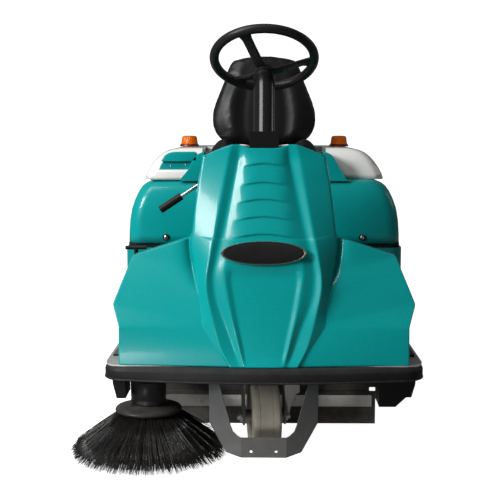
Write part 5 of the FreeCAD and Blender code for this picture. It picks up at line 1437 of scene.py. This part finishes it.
# ---- studio --------------------------------------------------------------------------------------------
class Studio:
    """A pale sweep, soft lights and the camera."""

    #: Where the camera is, how far it looks down and to its left in degrees, and its lens in millimetres.
    eye: Place = (AXIS_X, -3.704, 1.009)
    pitch: float = 6.56
    yaw: float = 0.775
    lens: float = 74.52
    sensor: float = 36.0

    def build(self) -> None:
        """Makes the stage and everything that lights and looks at it."""
        self.floor()
        self.world()
        self.lamp("key_light", (-3.3, -2.7, 2.5), (0.0, -0.3, 0.6), 1.3, 190.0)
        self.lamp("top_light", (-1.7, -1.7, 3.7), (0.0, -0.3, 0.5), 1.6, 60.0)
        self.lamp("low_light", (-1.1, -3.4, 0.3), (0.0, -0.5, 0.06), 0.5, 0.5, 18.0)
        self.lamp("side_light", (4.2, 1.2, 2.4), (0.1, 0.3, 0.6), 1.4, 9.0)
        self.camera()

    @staticmethod
    def where_seen(tree: bpy.types.NodeTree, target: bpy.types.NodeSocket, other: float, seen: float) -> None:
        """Gives a socket one value where the camera looks straight at it, and another for all other rays."""
        rays = tree.nodes.new("ShaderNodeLightPath")
        value = Effects.math(tree, "MULTIPLY_ADD", rays.outputs["Is Camera Ray"], seen - other, other)
        tree.links.new(value, target)

    @staticmethod
    def floor() -> None:
        """A floor that curves up far behind."""
        bm = bmesh.new()
        half_w, bend_y, radius = 14.0, 7.0, 3.0
        side = [(-9.0, 0.0), (bend_y, 0.0)]
        for k in range(1, 9):
            a = math.radians(90.0 * k / 8)
            side.append((bend_y + radius * math.sin(a), radius - radius * math.cos(a)))
        side.append((bend_y + radius, 12.0))
        line = [bm.verts.new((-half_w, y, z)) for y, z in side]
        edges = [bm.edges.new(pair) for pair in zip(line, line[1:])]
        grown = bmesh.ops.extrude_edge_only(bm, edges=edges)
        bmesh.ops.translate(bm, vec=(2 * half_w, 0.0, 0.0), verts=new_parts(grown, bmesh.types.BMVert))
        mesh = into_mesh(bm, "sweep")
        shade_smooth(mesh)
        material = bpy.data.materials.new("sweep_paper")
        material.use_nodes = True
        tree = material.node_tree
        surface = tree.nodes["Principled BSDF"]
        surface.inputs["Roughness"].default_value = 0.85
        surface.inputs["Emission Color"].default_value = (1.0, 1.0, 1.0, 1.0)
        Studio.where_seen(tree, surface.inputs["Emission Strength"], 0.08, 1.0)
        Studio.where_seen(tree, surface.inputs["Base Color"], 0.25, 0.9)
        mesh.materials.append(material)
        sweep = bpy.data.objects.new("sweep", mesh)
        bpy.context.scene.collection.objects.link(sweep)

    @staticmethod
    def world() -> None:
        """A white surround that gives only a little light of its own."""
        world = bpy.data.worlds.new("studio")
        world.use_nodes = True
        tree = world.node_tree
        background = tree.nodes["Background"]
        background.inputs["Color"].default_value = (1.0, 1.0, 1.0, 1.0)
        Studio.where_seen(tree, background.inputs["Strength"], 0.08, 1.0)
        bpy.context.scene.world = world
        bpy.context.scene.view_settings.view_transform = "Standard"

    @staticmethod
    def lamp(name: str, place: Place, target: Place, size: float, power: float,
             spread: float = 180.0) -> None:
        """A square soft light aimed at a point, its beam narrowed to spread degrees."""
        light = bpy.data.lights.new(name, "AREA")
        light.shape = "SQUARE"
        light.size = size
        light.energy = power
        light.spread = math.radians(spread)
        lamp = bpy.data.objects.new(name, light)
        lamp.location = place
        lamp.rotation_mode = "QUATERNION"
        lamp.rotation_quaternion = (Vector(target) - Vector(place)).to_track_quat("-Z", "Y")
        bpy.context.scene.collection.objects.link(lamp)

    def camera(self) -> None:
        """The camera in front of the machine, a little above its middle."""
        pitch, yaw = math.radians(self.pitch), math.radians(self.yaw)
        data = bpy.data.cameras.new("camera")
        data.lens, data.sensor_width = self.lens, self.sensor
        data.clip_end = 100.0
        camera = bpy.data.objects.new("camera", data)
        camera.location = self.eye
        ahead = Vector((-math.sin(yaw) * math.cos(pitch), math.cos(yaw) * math.cos(pitch), -math.sin(pitch)))
        camera.rotation_mode = "QUATERNION"
        camera.rotation_quaternion = ahead.to_track_quat("-Z", "Y")
        bpy.context.scene.collection.objects.link(camera)
        bpy.context.scene.camera = camera


def dress_hard_parts() -> None:
    """Gives every CAD node that stays in view its own finish."""
    finishes = {
        FRAME: ("chassis_frame", "side_brush_arm", "main_brush_arms", "brush_housing", "seat_rails",
                "seat_pan"),
        PLATE: ("floor_plate",),
        MAT: ("foot_mats",),
        GUARD: ("front_guard",),
        ZINC: ("guard_bolts", "rear_axles", "flap_strip", "front_axle", "hood_stop_bolts"),
        BLACK_PLASTIC: ("corner_skirts", "column_collar", "steering_wheel_cap", "dash_panel", "drive_pedal",
                        "brake_pedal", "lever_grip", "ignition_key", "side_brush_lever", "filter_box"),
        TEAL_SATIN: ("lower_body",),
        TEAL_GLOSS: ("hood_shell", "console_box"),
        COVER_WHITE: ("hood_cover",),
        LINER: ("cowl_inner_panel",),
        BLACK_GLOSS: ("steering_column",),
        WHEEL_GRIP: ("steering_wheel",),
        STEEL: ("steering_shaft", "brush_lift_lever", "hood_hinge_leaves"),
        FORK: ("steering_fork",),
        TYRE: ("front_tyre",),
        RUBBER: ("rear_tyre_right", "rear_tyre_left", "front_flap", "side_flaps", "hood_seal"),
        ALLOY: ("front_wheel_hub", "rear_hub_right", "rear_hub_left", "main_brush_core"),
        HOPPER: ("hopper_bin",),
        BATTERY: ("battery_pack",),
        BEACON_BASE: ("beacon_bases", "horn_button"),
        AMBER: ("beacon_lenses",),
        VINYL: ("seat_cushion", "seat_backrest"),
        BADGE: ("badge",),
        BRUSH_PLASTIC: ("side_brush_disc", "side_brush_motor"),
    }
    for finish, nodes in finishes.items():
        for node in nodes:
            dress(node, finish)


def main() -> None:
    """Builds the machine's looks in order."""
    dress_hard_parts()
    for part in PARTS:
        log.info("building %s", part.__name__)
        part().build()
    Studio().build()


if __name__ == "__main__":
    main()
